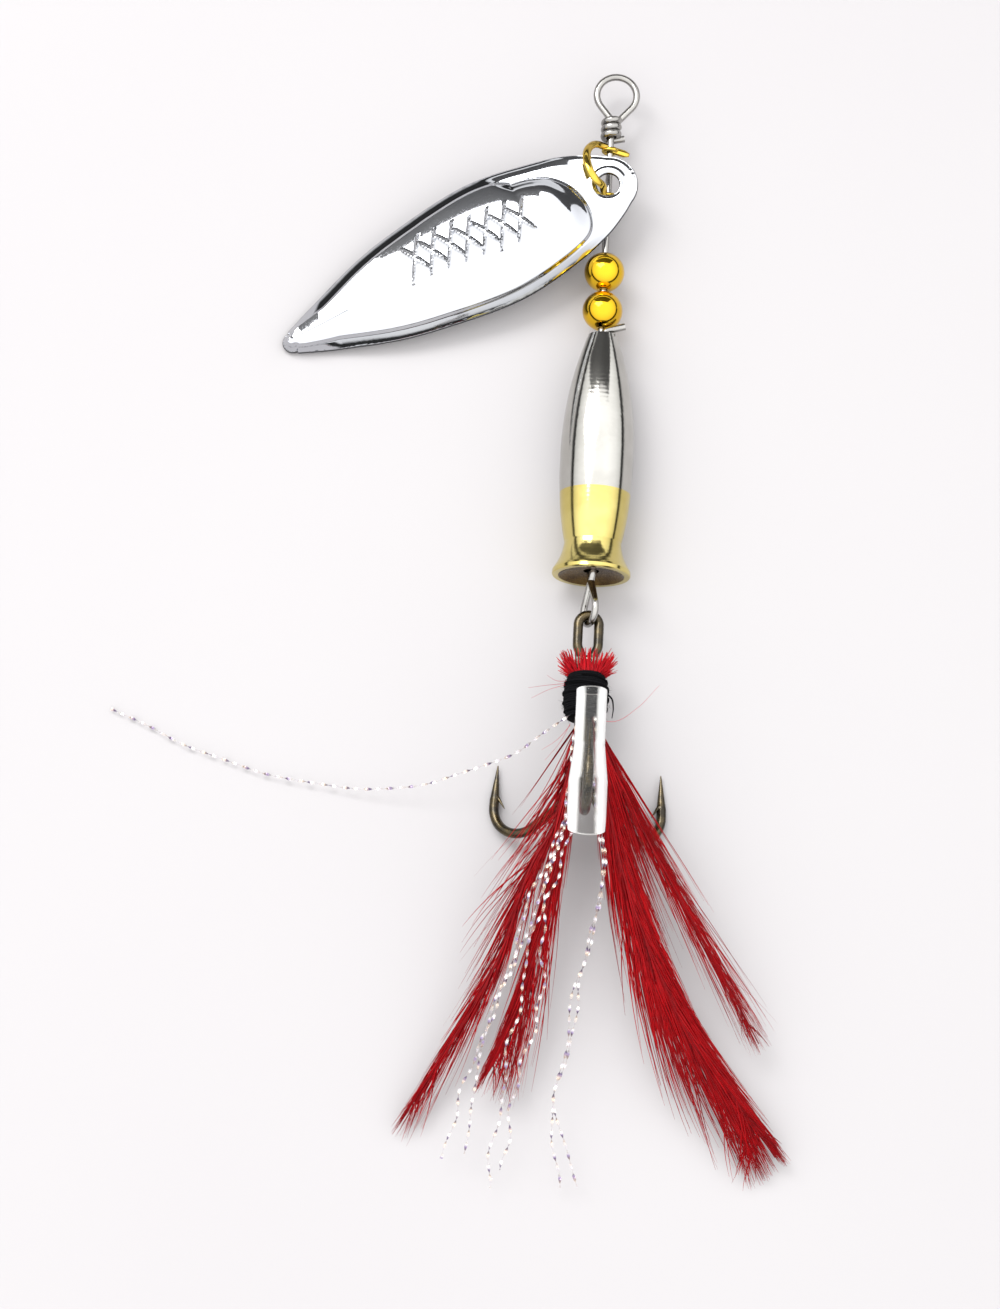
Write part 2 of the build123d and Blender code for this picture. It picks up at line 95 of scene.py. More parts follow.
@dataclass(frozen=True)
class Axes:
    """A sub-assembly's own axes in the row frame, with its origin in metres."""

    origin: np.ndarray
    first: np.ndarray
    second: np.ndarray
    third: np.ndarray

    def place(self, spots: np.ndarray) -> np.ndarray:
        """Takes points in millimetres on these axes to metres in the row frame."""
        return self.origin + MM * (spots @ np.array([self.first, self.second, self.third]))

    def mirrored(self) -> bool:
        """Whether the three axes are left-handed, which turns a mesh inside out."""
        return bool(np.linalg.det([self.first, self.second, self.third]) < 0)


def enclosed(spots: np.ndarray, faces: list) -> float:
    """Measures what closed faces enclose, below zero where they face inwards.

    Args:
        spots: the corners, one row each.
        faces: the faces, as numbers of those corners.

    Returns:
        Six times the volume.
    """
    fans = np.array([(face[0], one, two) for face in faces for one, two in zip(face[1:], face[2:])])
    first, second, third = (spots[fans[:, column]] for column in range(3))
    return float(np.einsum("ij,ij->", first, np.cross(second, third)))


def joint(name: str) -> dict:
    """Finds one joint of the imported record.

    Args:
        name: the joint's name.

    Returns:
        The joint's row.
    """
    return next(row for row in frame["joints"] if row["name"] == name)


def unit(vector: np.ndarray) -> np.ndarray:
    """Scales a vector to length one."""
    return vector / np.linalg.norm(vector)


def hook_axes() -> Axes:
    """Axes at the rear loop: sideways, down the hook's shank, and up.

    Returns:
        The axes that the hook's dressing is measured on.
    """
    down = -unit(np.array(joint("guard_slide")["axis"]))
    side = np.array([1.0, 0.0, 0.0])
    return Axes(np.array(joint("hook_swing")["pos_m"]), side, down, np.cross(down, side))


def blade_axes(pivot_to_hole: float = 0.8) -> Axes:
    """Axes at the blade's hole: towards the tip, across towards the rear edge, and up.

    Args:
        pivot_to_hole: how far the swing's axis lies past the hole's centre, in millimetres.

    Returns:
        The axes that the blade is measured on.
    """
    row = joint("blade_swing")
    pivot, swing = np.array(row["pos_m"]), unit(np.array(row["axis"]))
    corners = np.array([v.co for v in frame["nodes"]["blade"].data.vertices])
    away = np.linalg.norm(corners - pivot, axis=1)
    tip = corners[away > away.max() - 0.05 * MM].mean(axis=0) - pivot
    along = unit(tip - swing * (tip @ swing))
    return Axes(pivot - along * pivot_to_hole * MM, along, -swing, np.cross(along, -swing))


def smooth_route(knots: Points, steps: int) -> np.ndarray:
    """A smooth curve through a few points.

    Args:
        knots: the points, each with two or three numbers.
        steps: how many points the curve gets.

    Returns:
        The curve's points, one row each.
    """
    spots = np.array(knots, float)
    run = np.concatenate([[0], np.cumsum(np.linalg.norm(np.diff(spots, axis=0), axis=1))])
    slope = np.gradient(spots, run, axis=0)
    at = np.linspace(0, run[-1], steps)
    low = np.clip(np.searchsorted(run, at, side="right") - 1, 0, len(run) - 2)
    gap = (run[low + 1] - run[low])[:, None]
    t = (at - run[low])[:, None] / gap
    return (spots[low] * (1 + 2 * t) * (1 - t) ** 2 + spots[low + 1] * t ** 2 * (3 - 2 * t)
            + slope[low] * gap * t * (1 - t) ** 2 - slope[low + 1] * gap * t ** 2 * (1 - t))


@dataclass
class Skin:
    """Corners and faces gathered for one mesh, with a shade and a run for each corner."""

    spots: list[np.ndarray] = field(default_factory=list)
    faces: list[list[int]] = field(default_factory=list)
    shades: list[np.ndarray] = field(default_factory=list)
    runs: list[np.ndarray] = field(default_factory=list)
    size: int = 0

    def add(self, spots: np.ndarray, faces: list, shades: np.ndarray, runs: np.ndarray) -> None:
        """Adds corners and the closed faces between them, turned to face outwards.

        Args:
            spots: the corners, one row each, in millimetres.
            faces: the faces, as numbers of those corners.
            shades: a number from 0 to 1 for each corner.
            runs: how far along its strand each corner lies, in millimetres.
        """
        way = -1 if enclosed(spots, faces) < 0 else 1
        self.spots.append(spots)
        self.faces.extend([[corner + self.size for corner in face[::way]] for face in faces])
        self.shades.append(shades)
        self.runs.append(runs)
        self.size += len(spots)

    def tubes(self, routes: np.ndarray, radii: np.ndarray, shades: np.ndarray, sides: int = 3,
              flat: float = 1.0, twist: float = 0.0) -> None:
        """Adds closed tubes or ribbons along many routes at once.

        Args:
            routes: the centre lines, shaped (tubes, steps, 3), in millimetres.
            radii: the half widths, shaped (tubes, steps).
            shades: one shade for each tube.
            sides: the corners round each section.
            flat: a section's thickness as a share of its width.
            twist: the length of one full turn of a twisted ribbon, or 0.
        """
        count, steps = routes.shape[:2]
        tangent = np.gradient(routes, axis=1)
        tangent /= np.linalg.norm(tangent, axis=2, keepdims=True) + 1e-12
        aside = np.cross(tangent, [0.03, 0.05, 1.0])
        aside /= np.linalg.norm(aside, axis=2, keepdims=True) + 1e-12
        over = np.cross(aside, tangent)
        lengths = np.linalg.norm(np.diff(routes, axis=1), axis=2)
        runs = np.concatenate([np.zeros((count, 1)), np.cumsum(lengths, axis=1)], axis=1)
        if twist:
            turn = (2 * math.pi * (runs / twist + 7 * shades[:, None]))[..., None]
            aside, over = (aside * np.cos(turn) + over * np.sin(turn),
                           over * np.cos(turn) - aside * np.sin(turn))
        angle = 2 * math.pi * np.arange(sides) / sides
        ring = (aside[:, :, None] * np.cos(angle)[:, None]
                + flat * over[:, :, None] * np.sin(angle)[:, None])
        spots = routes[:, :, None] + radii[:, :, None, None] * ring
        number = np.arange(count * steps * sides).reshape(count, steps, sides)
        beside = np.roll(number, -1, axis=2)
        quads = np.stack([number[:, :-1], beside[:, :-1], beside[:, 1:], number[:, 1:]], axis=-1)
        faces = quads.reshape(-1, 4).tolist()
        faces += number[:, 0, ::-1].tolist() + number[:, -1].tolist()
        self.add(spots.reshape(-1, 3), faces, np.repeat(shades, steps * sides),
                 np.repeat(runs.ravel(), sides))

    def piece(self, name: str, axes: Axes, body: Body, slot: Slot,
              finish: bpy.types.Material, sharp: float = 60) -> bpy.types.Object:
        """Makes the mesh object, lays it on its axes, and hands it to its body.

        Args:
            name: the piece's name.
            axes: where the gathered millimetres lie.
            body: the body that carries the piece.
            slot: not used.
            finish: the material.
            sharp: the angle in degrees past which an edge stays sharp.

        Returns:
            The new object.
        """
        mesh = bpy.data.meshes.new(name)
        way = -1 if axes.mirrored() else 1
        faces = [face[::way] for face in self.faces]
        mesh.from_pydata(axes.place(np.concatenate(self.spots)).tolist(), [], faces)
        for label, values in (("shade", self.shades), ("run", self.runs)):
            layer = mesh.attributes.new(label, "FLOAT", "POINT")
            layer.data.foreach_set("value", np.concatenate(values).astype(np.float32))
        mesh.shade_smooth()
        mesh.set_sharp_from_angle(angle=math.radians(sharp))
        mesh.materials.append(finish)
        item = bpy.data.objects.new(name, mesh)
        bpy.context.scene.collection.objects.link(item)
        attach(item, body.value)
        log.info("%s: %d faces", name, len(mesh.polygons))
        return item


def lathe(skin: Skin, profile: np.ndarray, height: float, sides: int = 48) -> None:
    """Adds a closed turned solid about the line down the shank.

    Args:
        skin: where it is gathered.
        profile: rows of distance down the shank and radius.
        height: how far the turning line lies over the shank wires' plane.
        sides: the corners round each ring.
    """
    angle = 2 * math.pi * np.arange(sides) / sides
    rings = np.stack([np.stack([r * np.cos(angle), np.full(sides, d), height + r * np.sin(angle)],
                               axis=1) for d, r in profile])
    number = np.arange(len(profile) * sides).reshape(len(profile), sides)
    beside = np.roll(number, -1, axis=1)
    quads = np.stack([number[:-1], number[1:], beside[1:], beside[:-1]], axis=-1).reshape(-1, 4)
    faces = quads.tolist() + [number[0].tolist(), number[-1, ::-1].tolist()]
    skin.add(rings.reshape(-1, 3), faces, np.full(rings.size // 3, 0.3), np.zeros(rings.size // 3))


# ---- finishes ------------------------------------------------------------------------------


class Paint:
    """A material being built: its nodes, added and joined one by one."""

    def __init__(self, name: str) -> None:
        """Starts an empty node tree.

        Args:
            name: the material's name.
        """
        self.material = bpy.data.materials.new(name)
        self.material.use_nodes = True
        self.tree = self.material.node_tree
        self.tree.nodes.clear()
        self.output = self.node("ShaderNodeOutputMaterial")

    def node(self, kind: str, values: dict | None = None, **settings) -> bpy.types.Node:
        """Adds one node.

        Args:
            kind: the node's type.
            values: numbers and colours for its sockets, by socket name.
            settings: the node's own settings.

        Returns:
            The node.
        """
        made = self.tree.nodes.new(kind)
        for key, value in settings.items():
            setattr(made, key, value)
        for key, value in (values or {}).items():
            made.inputs[key].default_value = value
        return made

    def join(self, source: bpy.types.NodeSocket, target: bpy.types.NodeSocket) -> None:
        """Joins one socket to another."""
        self.tree.links.new(source, target)

    def noise(self, scale: float, detail: float = 3.0, stretch: tuple = (1, 1, 1)) -> bpy.types.NodeSocket:
        """Adds noise on the object's own coordinates.

        Args:
            scale: how fine it is, per metre.
            detail: how many octaves it has.
            stretch: how much finer it is along each axis.

        Returns:
            The noise's value.
        """
        where = self.node("ShaderNodeTexCoord")
        sized = self.node("ShaderNodeMapping", {"Scale": stretch})
        cloud = self.node("ShaderNodeTexNoise", {"Scale": scale, "Detail": detail})
        self.join(where.outputs["Object"], sized.inputs["Vector"])
        self.join(sized.outputs["Vector"], cloud.inputs["Vector"])
        return cloud.outputs["Fac"]

    def ramp(self, source: bpy.types.NodeSocket, *stops: tuple) -> bpy.types.NodeSocket:
        """Turns a number into a colour.

        Args:
            source: the number.
            stops: pairs of a place from 0 to 1 and a colour.

        Returns:
            The colour.
        """
        made = self.node("ShaderNodeValToRGB")
        band = made.color_ramp
        while len(band.elements) < len(stops):
            band.elements.new(0.5)
        for element, (place, colour) in zip(band.elements, stops):
            element.position = place
            element.color = (*colour, 1)
        self.join(source, made.inputs["Fac"])
        return made.outputs["Color"]

    def bump(self, source: bpy.types.NodeSocket, strength: float, depth: float,
             before: bpy.types.NodeSocket | None = None) -> bpy.types.NodeSocket:
        """Adds relief.

        Args:
            source: the height.
            strength: the share of the relief that shows.
            depth: how deep the relief is, in metres.
            before: relief that this one lies on.

        Returns:
            The normal.
        """
        made = self.node("ShaderNodeBump", {"Strength": strength, "Distance": depth})
        self.join(source, made.inputs["Height"])
        if before:
            self.join(before, made.inputs["Normal"])
        return made.outputs["Normal"]

    def relief(self, shader: bpy.types.Node, scale: float, strength: float, depth: float) -> None:
        """Gives a shader fine relief.

        Args:
            shader: the shader.
            scale: how fine the relief is, per metre.
            strength: the share of it that shows.
            depth: how deep it is, in metres.
        """
        self.join(self.bump(self.noise(scale, 2.0), strength, depth), shader.inputs["Normal"])

    def blend(self, share: bpy.types.NodeSocket, clear: bpy.types.Node,
              solid: bpy.types.Node) -> bpy.types.Material:
        """Mixes a clear shader with a solid one and gives the material.

        Args:
            share: how much of the solid one shows.
            clear: the clear shader.
            solid: the solid shader.

        Returns:
            The material.
        """
        both = self.node("ShaderNodeMixShader")
        self.join(share, both.inputs[0])
        self.join(clear.outputs[0], both.inputs[1])
        self.join(solid.outputs[0], both.inputs[2])
        return self.finish(both)

    def attribute(self, name: str) -> bpy.types.NodeSocket:
        """Reads one of a strand's own numbers."""
        return self.node("ShaderNodeAttribute", attribute_name=name).outputs["Fac"]

    def finish(self, shader: bpy.types.Node) -> bpy.types.Material:
        """Joins the shader to the output and gives the material."""
        self.join(shader.outputs[0], self.output.inputs["Surface"])
        return self.material


@dataclass(frozen=True)
class Metal:
    """A polished, drawn, turned or lacquered metal."""

    name: str
    bright: tuple[float, float, float]
    dull: tuple[float, float, float]
    smooth: float = 0.06
    rough: float = 0.16
    patch: float = 260.0
    grain: float = 5000.0
    stretch: tuple[float, float, float] = (1, 1, 1)
    relief: float = 0.000004
    rings: float = 0.0
    wave: float = 0.0
    coat: float = 0.0
    # edge: the painted shade on edge walls takes this share of the dull colour; 0 leaves none
    edge: float = 0.0

    def build(self) -> bpy.types.Material:
        """Builds the node tree: tarnish, uneven polish, grain, tool rings and painted shade on edge walls.

        Returns:
            The material.
        """
        paint = Paint(self.name)
        clouds = paint.noise(self.patch)
        shader = paint.node("ShaderNodeBsdfPrincipled", {
            "Metallic": 1.0, "Coat Weight": self.coat, "Coat Roughness": 0.08})
        colour = paint.ramp(clouds, (0.35, self.dull), (0.6, self.bright))
        # Painted shade: corners with a low shade number, the blade's edge walls, take a darkened copy of the
        # dull colour, standing in for the reflected shadow under the edge
        if self.edge:
            painted_edge_shade = paint.node("ShaderNodeMix", data_type="RGBA")
            painted_edge_shade.inputs[7].default_value = (*(self.edge * c for c in self.dull), 1)
            at_edge = paint.ramp(paint.attribute("shade"), (0.1, (1, 1, 1)), (0.4, (0, 0, 0)))
            paint.join(at_edge, painted_edge_shade.inputs[0])
            paint.join(colour, painted_edge_shade.inputs[6])
            colour = painted_edge_shade.outputs[2]
        paint.join(colour, shader.inputs["Base Color"])
        fine = paint.noise(self.grain, 2.0, self.stretch)
        uneven = paint.node("ShaderNodeMapRange", {
            "From Min": 0.3, "From Max": 0.7, "To Min": self.smooth, "To Max": self.rough})
        paint.join(fine, uneven.inputs["Value"])
        paint.join(uneven.outputs["Result"], shader.inputs["Roughness"])
        normal = paint.bump(fine, 0.5, self.relief)
        if self.rings:
            where = paint.node("ShaderNodeTexCoord")
            turned = paint.node("ShaderNodeTexWave", {
                "Scale": self.rings, "Distortion": 0.6, "Detail": 1.0}, bands_direction="Y")
            paint.join(where.outputs["Object"], turned.inputs["Vector"])
            normal = paint.bump(turned.outputs["Fac"], 0.5, self.relief, normal)
        if self.wave:
            normal = paint.bump(paint.noise(120.0, 1.0), 1.0, self.wave, normal)
        paint.join(normal, shader.inputs["Normal"])
        return paint.finish(shader)


@dataclass(frozen=True)
class ClearTube:
    """Clear soft plastic: see-through face on, with a white blended in where it is seen edge on as a painted
    highlight.
    """

    name: str = "clear_plastic"
    tint: tuple[float, float, float] = (0.86, 0.86, 0.85)

    def build(self) -> bpy.types.Material:
        """Builds the node tree: a tinted clear face, cloudy white sides blended in as painted highlights, and
        a soft sheen.

        Returns:
            The material.
        """
        paint = Paint(self.name)
        clear = paint.node("ShaderNodeBsdfTransparent", {"Color": (*self.tint, 1)})
        shader = paint.node("ShaderNodeBsdfPrincipled", {
            "Roughness": 0.12, "IOR": 1.5, "Coat Weight": 0.6, "Coat Roughness": 0.05})
        paint.join(paint.ramp(paint.noise(500.0), (0.3, (0.80, 0.80, 0.79)), (0.7, (0.9, 0.9, 0.9))),
                   shader.inputs["Base Color"])
        paint.relief(shader, 900.0, 0.4, 0.00003)
        # Painted highlight: a white shader is blended in where the tube is seen edge on, standing in for the
        # bright bands down its sides
        edge = paint.node("ShaderNodeLayerWeight", {"Blend": 0.5})
        share = paint.node("ShaderNodeMapRange", {
            "From Min": 0.13, "From Max": 0.27, "To Min": 0.02, "To Max": 0.72})
        paint.join(edge.outputs["Facing"], share.inputs["Value"])
        return paint.blend(share.outputs["Result"], clear, shader)


@dataclass(frozen=True)
class Fibre:
    """Dyed feather or thread: each strand has its own shade, and darkens towards its root."""

    name: str
    deep: tuple[float, float, float]
    bright: tuple[float, float, float]
    roughness: float = 0.45
    sheen: float = 0.05
    root: float = 5.0
    gloss: float = 0.12

    def build(self) -> bpy.types.Material:
        """Builds the node tree: shade by strand, streaks along it, a fine relief and sheen.

        Returns:
            The material.
        """
        paint = Paint(self.name)
        shader = paint.node("ShaderNodeBsdfPrincipled", {
            "Roughness": self.roughness, "Sheen Weight": self.sheen, "Sheen Roughness": 0.4,
            "Sheen Tint": (*self.bright, 1), "Specular IOR Level": self.gloss})
        streak = paint.node("ShaderNodeMath", operation="MULTIPLY_ADD")
        paint.join(paint.noise(1400.0), streak.inputs[0])
        streak.inputs[1].default_value = 0.5
        paint.join(paint.attribute("shade"), streak.inputs[2])
        lift = paint.node("ShaderNodeMapRange", {
            "From Min": 0.0, "From Max": self.root, "To Min": -0.35, "To Max": 0.0})
        paint.join(paint.attribute("run"), lift.inputs["Value"])
        total = paint.node("ShaderNodeMath", operation="ADD")
        paint.join(streak.outputs[0], total.inputs[0])
        paint.join(lift.outputs["Result"], total.inputs[1])
        paint.join(paint.ramp(total.outputs[0], (0.1, self.deep), (1.0, self.bright)),
                   shader.inputs["Base Color"])
        paint.relief(shader, 9000.0, 0.3, 0.00002)
        return paint.finish(shader)


@dataclass(frozen=True)
class Pearl:
    """Pearly film: clear and pale, with painted violet, rose and gold glints in dashes along each strand."""

    name: str = "pearl_film"
    # pitch: the length along a strand from one painted glint to the next
    pitch: float = 2.3

    def build(self) -> bpy.types.Material:
        """Builds the node tree: painted glints, bright and dark dashes spaced along each strand, over a
        mostly clear film.

        Returns:
            The material.
        """
        paint = Paint(self.name)
        phase = paint.node("ShaderNodeMath", operation="MULTIPLY")
        paint.join(paint.attribute("run"), phase.inputs[0])
        phase.inputs[1].default_value = 1 / self.pitch
        cycle = paint.node("ShaderNodeMath", operation="FRACT")
        paint.join(phase.outputs[0], cycle.inputs[0])
        # Painted reflection: base colour and opacity cycle along each strand into bright and dark dashes,
        # standing in for the twisted film catching light and shade, on top of the film's own reflections
        colour = paint.ramp(cycle.outputs[0], (0.0, (0.85, 0.82, 0.9)), (0.3, (0.95, 0.93, 0.85)),
                            (0.5, (0.20, 0.15, 0.28)), (0.62, (0.26, 0.2, 0.24)), (0.8, (0.95, 0.80, 0.62)))
        shader = paint.node("ShaderNodeBsdfPrincipled", {
            "Metallic": 0.55, "Roughness": 0.16, "Coat Weight": 0.5,
            "Thin Film Thickness": 420.0, "Thin Film IOR": 1.45})
        paint.join(colour, shader.inputs["Base Color"])
        paint.relief(shader, 6000.0, 0.4, 0.00002)
        clear = paint.node("ShaderNodeBsdfTransparent", {"Color": (0.97, 0.96, 0.97, 1)})
        film = paint.ramp(cycle.outputs[0], (0.0, (0.06,) * 3), (0.3, (0.5,) * 3), (0.5, (0.95,) * 3),
                          (0.68, (0.9,) * 3), (0.85, (0.1,) * 3))
        return paint.blend(film, clear, shader)


@dataclass(frozen=True)
class PaleFloor:
    """A plain pale surface with a barely uneven tone."""

    name: str = "pale_floor"

    def build(self) -> bpy.types.Material:
        """Builds the node tree.

        Returns:
            The material.
        """
        paint = Paint(self.name)
        shader = paint.node("ShaderNodeBsdfPrincipled", {"Roughness": 0.9, "Specular IOR Level": 0.1})
        paint.join(paint.ramp(paint.noise(8.0), (0.3, (0.432, 0.418, 0.424)), (0.7, (0.442, 0.430, 0.434))),
                   shader.inputs["Base Color"])
        return paint.finish(shader)


# ---- the metal parts -----------------------------------------------------------------------


@dataclass
class MetalWork:
    """The wire, beads, body and hook, which keep their own shapes and get a finish."""

    wire: Metal = Metal("drawn_steel", (0.38, 0.37, 0.35), (0.27, 0.26, 0.25), 0.12, 0.24,
                        relief=0.000006, coat=0.1)
    # painted shade: dull brown brass for the tail's hollow rear face, standing in for its dark reflection
    recess: Metal = Metal("recess_shade_brass", (0.16, 0.10, 0.035), (0.07, 0.04, 0.02), 0.2, 0.35, patch=500)
    beads: Metal = Metal("gold_beads", (0.74, 0.46, 0.022), (0.64, 0.38, 0.02), 0.05, 0.10,
                         patch=90, relief=0.000002)
    head: Metal = Metal("turned_nickel", (0.49, 0.48, 0.45), (0.43, 0.42, 0.39), 0.07, 0.13,
                        stretch=(1, 6, 1), rings=620, relief=0.000003)
    tail: Metal = Metal("turned_brass", (0.62, 0.52, 0.19), (0.54, 0.44, 0.14), 0.09, 0.17,
                        stretch=(1, 6, 1), rings=620, relief=0.000004)
    hook: Metal = Metal("bronze_lacquer", (0.075, 0.054, 0.022), (0.022, 0.017, 0.009), 0.22, 0.38,
                        patch=700, relief=0.00001, coat=0.5)
    braze: Metal = Metal("silver_braze", (0.42, 0.45, 0.38), (0.25, 0.27, 0.20), 0.12, 0.3,
                         patch=900, relief=0.00004, wave=0.0001)

    def dress(self) -> None:
        """Gives the CAD nodes that keep their own shapes their finishes."""
        rows = ((self.wire, ("wire_shaft",)),
                (self.beads, ("upper_bead", "lower_bead")), (self.head, ("body_head",)),
                (self.tail, ("body_tail",)), (self.hook, ("hook_double", "hook_single")),
                (self.braze, ("hook_braze",)), (ClearTube(), ("point_guard",)))
        for finish, nodes in rows:
            material = finish.build()
            for node in nodes:
                mesh = frame["nodes"][node].data
                mesh.materials.clear()
                mesh.materials.append(material)
                log.info("%s: %s", node, finish.name)
        self.paint_recess_shade()

    def paint_recess_shade(self, inside: float = 3.72, depth: float = 0.75) -> None:
        """Paints shade into the hollow rear face of the brass tail: a dull, brown brass that stands in for
        its dark reflection.

        Args:
            inside: the recess's radius in millimetres.
            depth: how far in from the rim it reaches, in millimetres.
        """
        mesh = frame["nodes"]["body_tail"].data
        mesh.materials.append(self.recess.build())
        middle = np.array(joint("body_spin")["pos_m"])
        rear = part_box("body_tail")[0].y
        for face in mesh.polygons:
            away = math.hypot(face.center.x - middle[0], face.center.z - middle[2])
            if face.center.y < rear + depth * MM and away < inside * MM:
                face.material_index = 1


@dataclass
class Clevis:
    """The brass strap that carries the blade: a flattened bow with an eye at each end."""

    bow: Points = field(default_factory=lambda: [
        (1.75, -7.35, 0.15), (0.5, -7.05, 0.1), (-0.9, -6.55, 0.1), (-2.1, -6.55, 0.85),
        (-3.0, -7.5, 1.95), (-3.3, -9.1, 2.95), (-2.9, -10.7, 3.35), (-2.1, -11.8, 3.1),
        (-1.3, -12.14, 2.35), (-1.02, -12.45, 1.3), (-0.85, -12.5, 0.35)])
    half_width: float = 0.46
    flat: float = 0.62
    eye_radius: float = 0.74
    eye_wire: float = 0.26
    eye_levels: tuple[float, float] = (-6.95, -12.55)
    finish: Metal = Metal("brass_clevis", (0.66, 0.46, 0.07), (0.50, 0.34, 0.06), 0.08, 0.18)

    def build(self) -> bpy.types.Object:
        """Builds the bow and its two eyes round the shaft.

        Returns:
            The clevis, which stands for its CAD node.
        """
        world = Axes(np.zeros(3), *np.eye(3))
        shaft_x = joint("clevis_spin")["pos_m"][0] / MM
        skin = Skin()
        route = smooth_route(self.bow, 90)[None]
        taper = np.clip(np.minimum(np.linspace(0.5, 12, 90), np.linspace(12, 0.8, 90)), 0, 1)
        skin.tubes(route, self.half_width * taper[None], np.array([0.5]), sides=14, flat=self.flat)
        turn = np.linspace(0, 2 * math.pi, 49)
        for level in self.eye_levels:
            ring = np.stack([shaft_x + self.eye_radius * np.cos(turn), np.full(49, level),
                             self.eye_radius * np.sin(turn)], axis=1)
            skin.tubes(ring[None], np.full((1, 49), self.eye_wire), np.array([0.5]), sides=10)
        piece = skin.piece("clevis_strap", world, Body.CLEVIS, Slot.BRASS, self.finish.build(), 180)
        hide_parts("clevis")
        return piece


# ---- blade ---------------------------------------------------------------------------------


@dataclass
class Blade:
    """The plated blade: flat root, ringed hole, crowned leaf with a turned rim and a stamped lattice."""

    reach: float = 41.4          # hole to tip
    half_width: float = 7.5
    root_radius: float = 3.3
    root_bevel: float = 0.14
    root_end: float = -1.45      # where the leaf's sides leave the round root
    root_share: float = 0.395    # its half width there, as a share of the leaf's
    outline: Points = field(default_factory=lambda: [
        (0.0, 0.52), (0.13, 0.81), (0.35, 1.0), (0.6, 0.84), (0.86, 0.42), (0.985, 0.147)])
    tip_radius: float = 1.1
    hole_radius: float = 1.4
    thickness: float = 0.6
    rim_width: float = 1.05
    lower_rim: float = 0.71       # shares of the rim's width at the two edges
    upper_rim: float = 1.12
    rim_power: float = 0.9
    blend: float = 0.55          # how softly the rim and the front step run together
    tip_fade: float = 6.0        # the rim narrows over this length, to this share of its width
    tip_share: float = 0.4
    rim_drop: float = 0.8
    step_width: float = 0.34
    step_rise: float = 0.48
    dome: float = 1.0
    arch: float = 0.35
    arch_centre: float = 0.53    # share of the reach, and half its run
    arch_half: float = 0.47
    leaf_start: float = 0.5      # where the flat root turns into the leaf, and over what length
    leaf_run: float = 6.0
    front_centre: tuple[float, float] = (10.0, 1.3)
    front_radius: float = 6.8
    front_run: float = 2.2
    front_rise: float = 0.5
    front_fade: float = 0.75     # the share that the front step loses towards the rear edge
    front_reach: float = 2.6     # the front step dies out this far from the edge
    rim_lift: float = 0.75
    ring_height: float = 0.16    # the raised ring round the hole
    ring_offset: float = 0.45
    ring_half: float = 0.28
    strokes: int = 7
    lattice_start: tuple[float, float] = (10.9, -0.3)
    lattice_end: tuple[float, float] = (23.6, -1.7)
    long_stroke: tuple[float, float] = (3.1, 5.4)
    short_stroke: tuple[float, float] = (-2.2, 3.9)
    stroke_half: float = 0.32
    stroke_height: float = 0.34
    rows: int = 360
    columns: int = 121
    # edge=0.12 paints shade on the leaf's edge walls, standing in for the reflected shadow under its rim
    finish: Metal = Metal("plated_blade", (0.52, 0.53, 0.55), (0.47, 0.48, 0.51), 0.03, 0.07,
                          patch=110, grain=2600, relief=0.000003, wave=0.00006, edge=0.12)

    def half_width_at(self, x: np.ndarray) -> np.ndarray:
        """Half the leaf's width along its length.

        Args:
            x: distances from the hole towards the tip.

        Returns:
            The half width at each of them.
        """
        fine = smooth_route([(self.root_end / self.reach, self.root_share), *self.outline], 200)
        leaf = np.interp(x / self.reach, fine[:, 0], fine[:, 1]) * self.half_width
        root = np.sqrt(np.clip(self.root_radius ** 2 - x ** 2, 0, None))
        from_end = np.clip(self.reach - x, 0, self.tip_radius)
        tip = np.sqrt(np.clip(self.tip_radius ** 2 - (self.tip_radius - from_end) ** 2, 0, None))
        wide = np.where(x < self.root_end, root, np.maximum(leaf, root))
        return np.where(x > self.reach - self.tip_radius, np.minimum(wide, tip), wide)

    def edge_distance(self, spots: np.ndarray) -> np.ndarray:
        """How far each point lies in from the leaf's edge.

        Args:
            spots: rows of length and width.

        Returns:
            The distances.
        """
        x = np.linspace(-self.root_radius, self.reach, 900)
        wide = self.half_width_at(x)
        near = np.full(len(spots), np.inf)
        for side in (-1, 1):
            edge = np.stack([x, side * wide], axis=1)
            for part in np.array_split(np.arange(len(spots)), 30):
                gaps = np.hypot(spots[part, None, 0] - edge[None, :, 0],
                                spots[part, None, 1] - edge[None, :, 1])
                near[part] = np.minimum(near[part], gaps.min(axis=1))
        return near

    def lattice(self, spots: np.ndarray) -> np.ndarray:
        """The raised pointed strokes of the stamped lattice.

        Args:
            spots: rows of length and width.

        Returns:
            Their height at each point.
        """
        height = np.zeros(len(spots))
        for index in range(self.strokes):
            share = index / (self.strokes - 1)
            centre = np.array(self.lattice_start) * (1 - share) + np.array(self.lattice_end) * share
            for stroke, wide in ((self.long_stroke, 0.8), (self.short_stroke, 1.15)):
                way = np.array(stroke)
                length = np.linalg.norm(way)
                way = way / length
                offset = spots - centre
                along = 2 * (offset @ way) / length
                aside = np.abs(offset @ np.array([-way[1], way[0]]))
                half = self.stroke_half * wide * np.clip(1 - along ** 2, 0, None) ** 0.6 + 1e-6
                height = np.maximum(height, self.stroke_height * np.clip(1 - aside / half, 0, None))
        return height

    def height(self, spots: np.ndarray) -> np.ndarray:
        """The top face's height over the blade's plane.

        Args:
            spots: rows of length and width.

        Returns:
            The height of each.
        """
        def ease(value: np.ndarray) -> np.ndarray:
            """A smooth step from 0 to 1."""
            value = np.clip(value, 0, 1)
            return value * value * (3 - 2 * value)

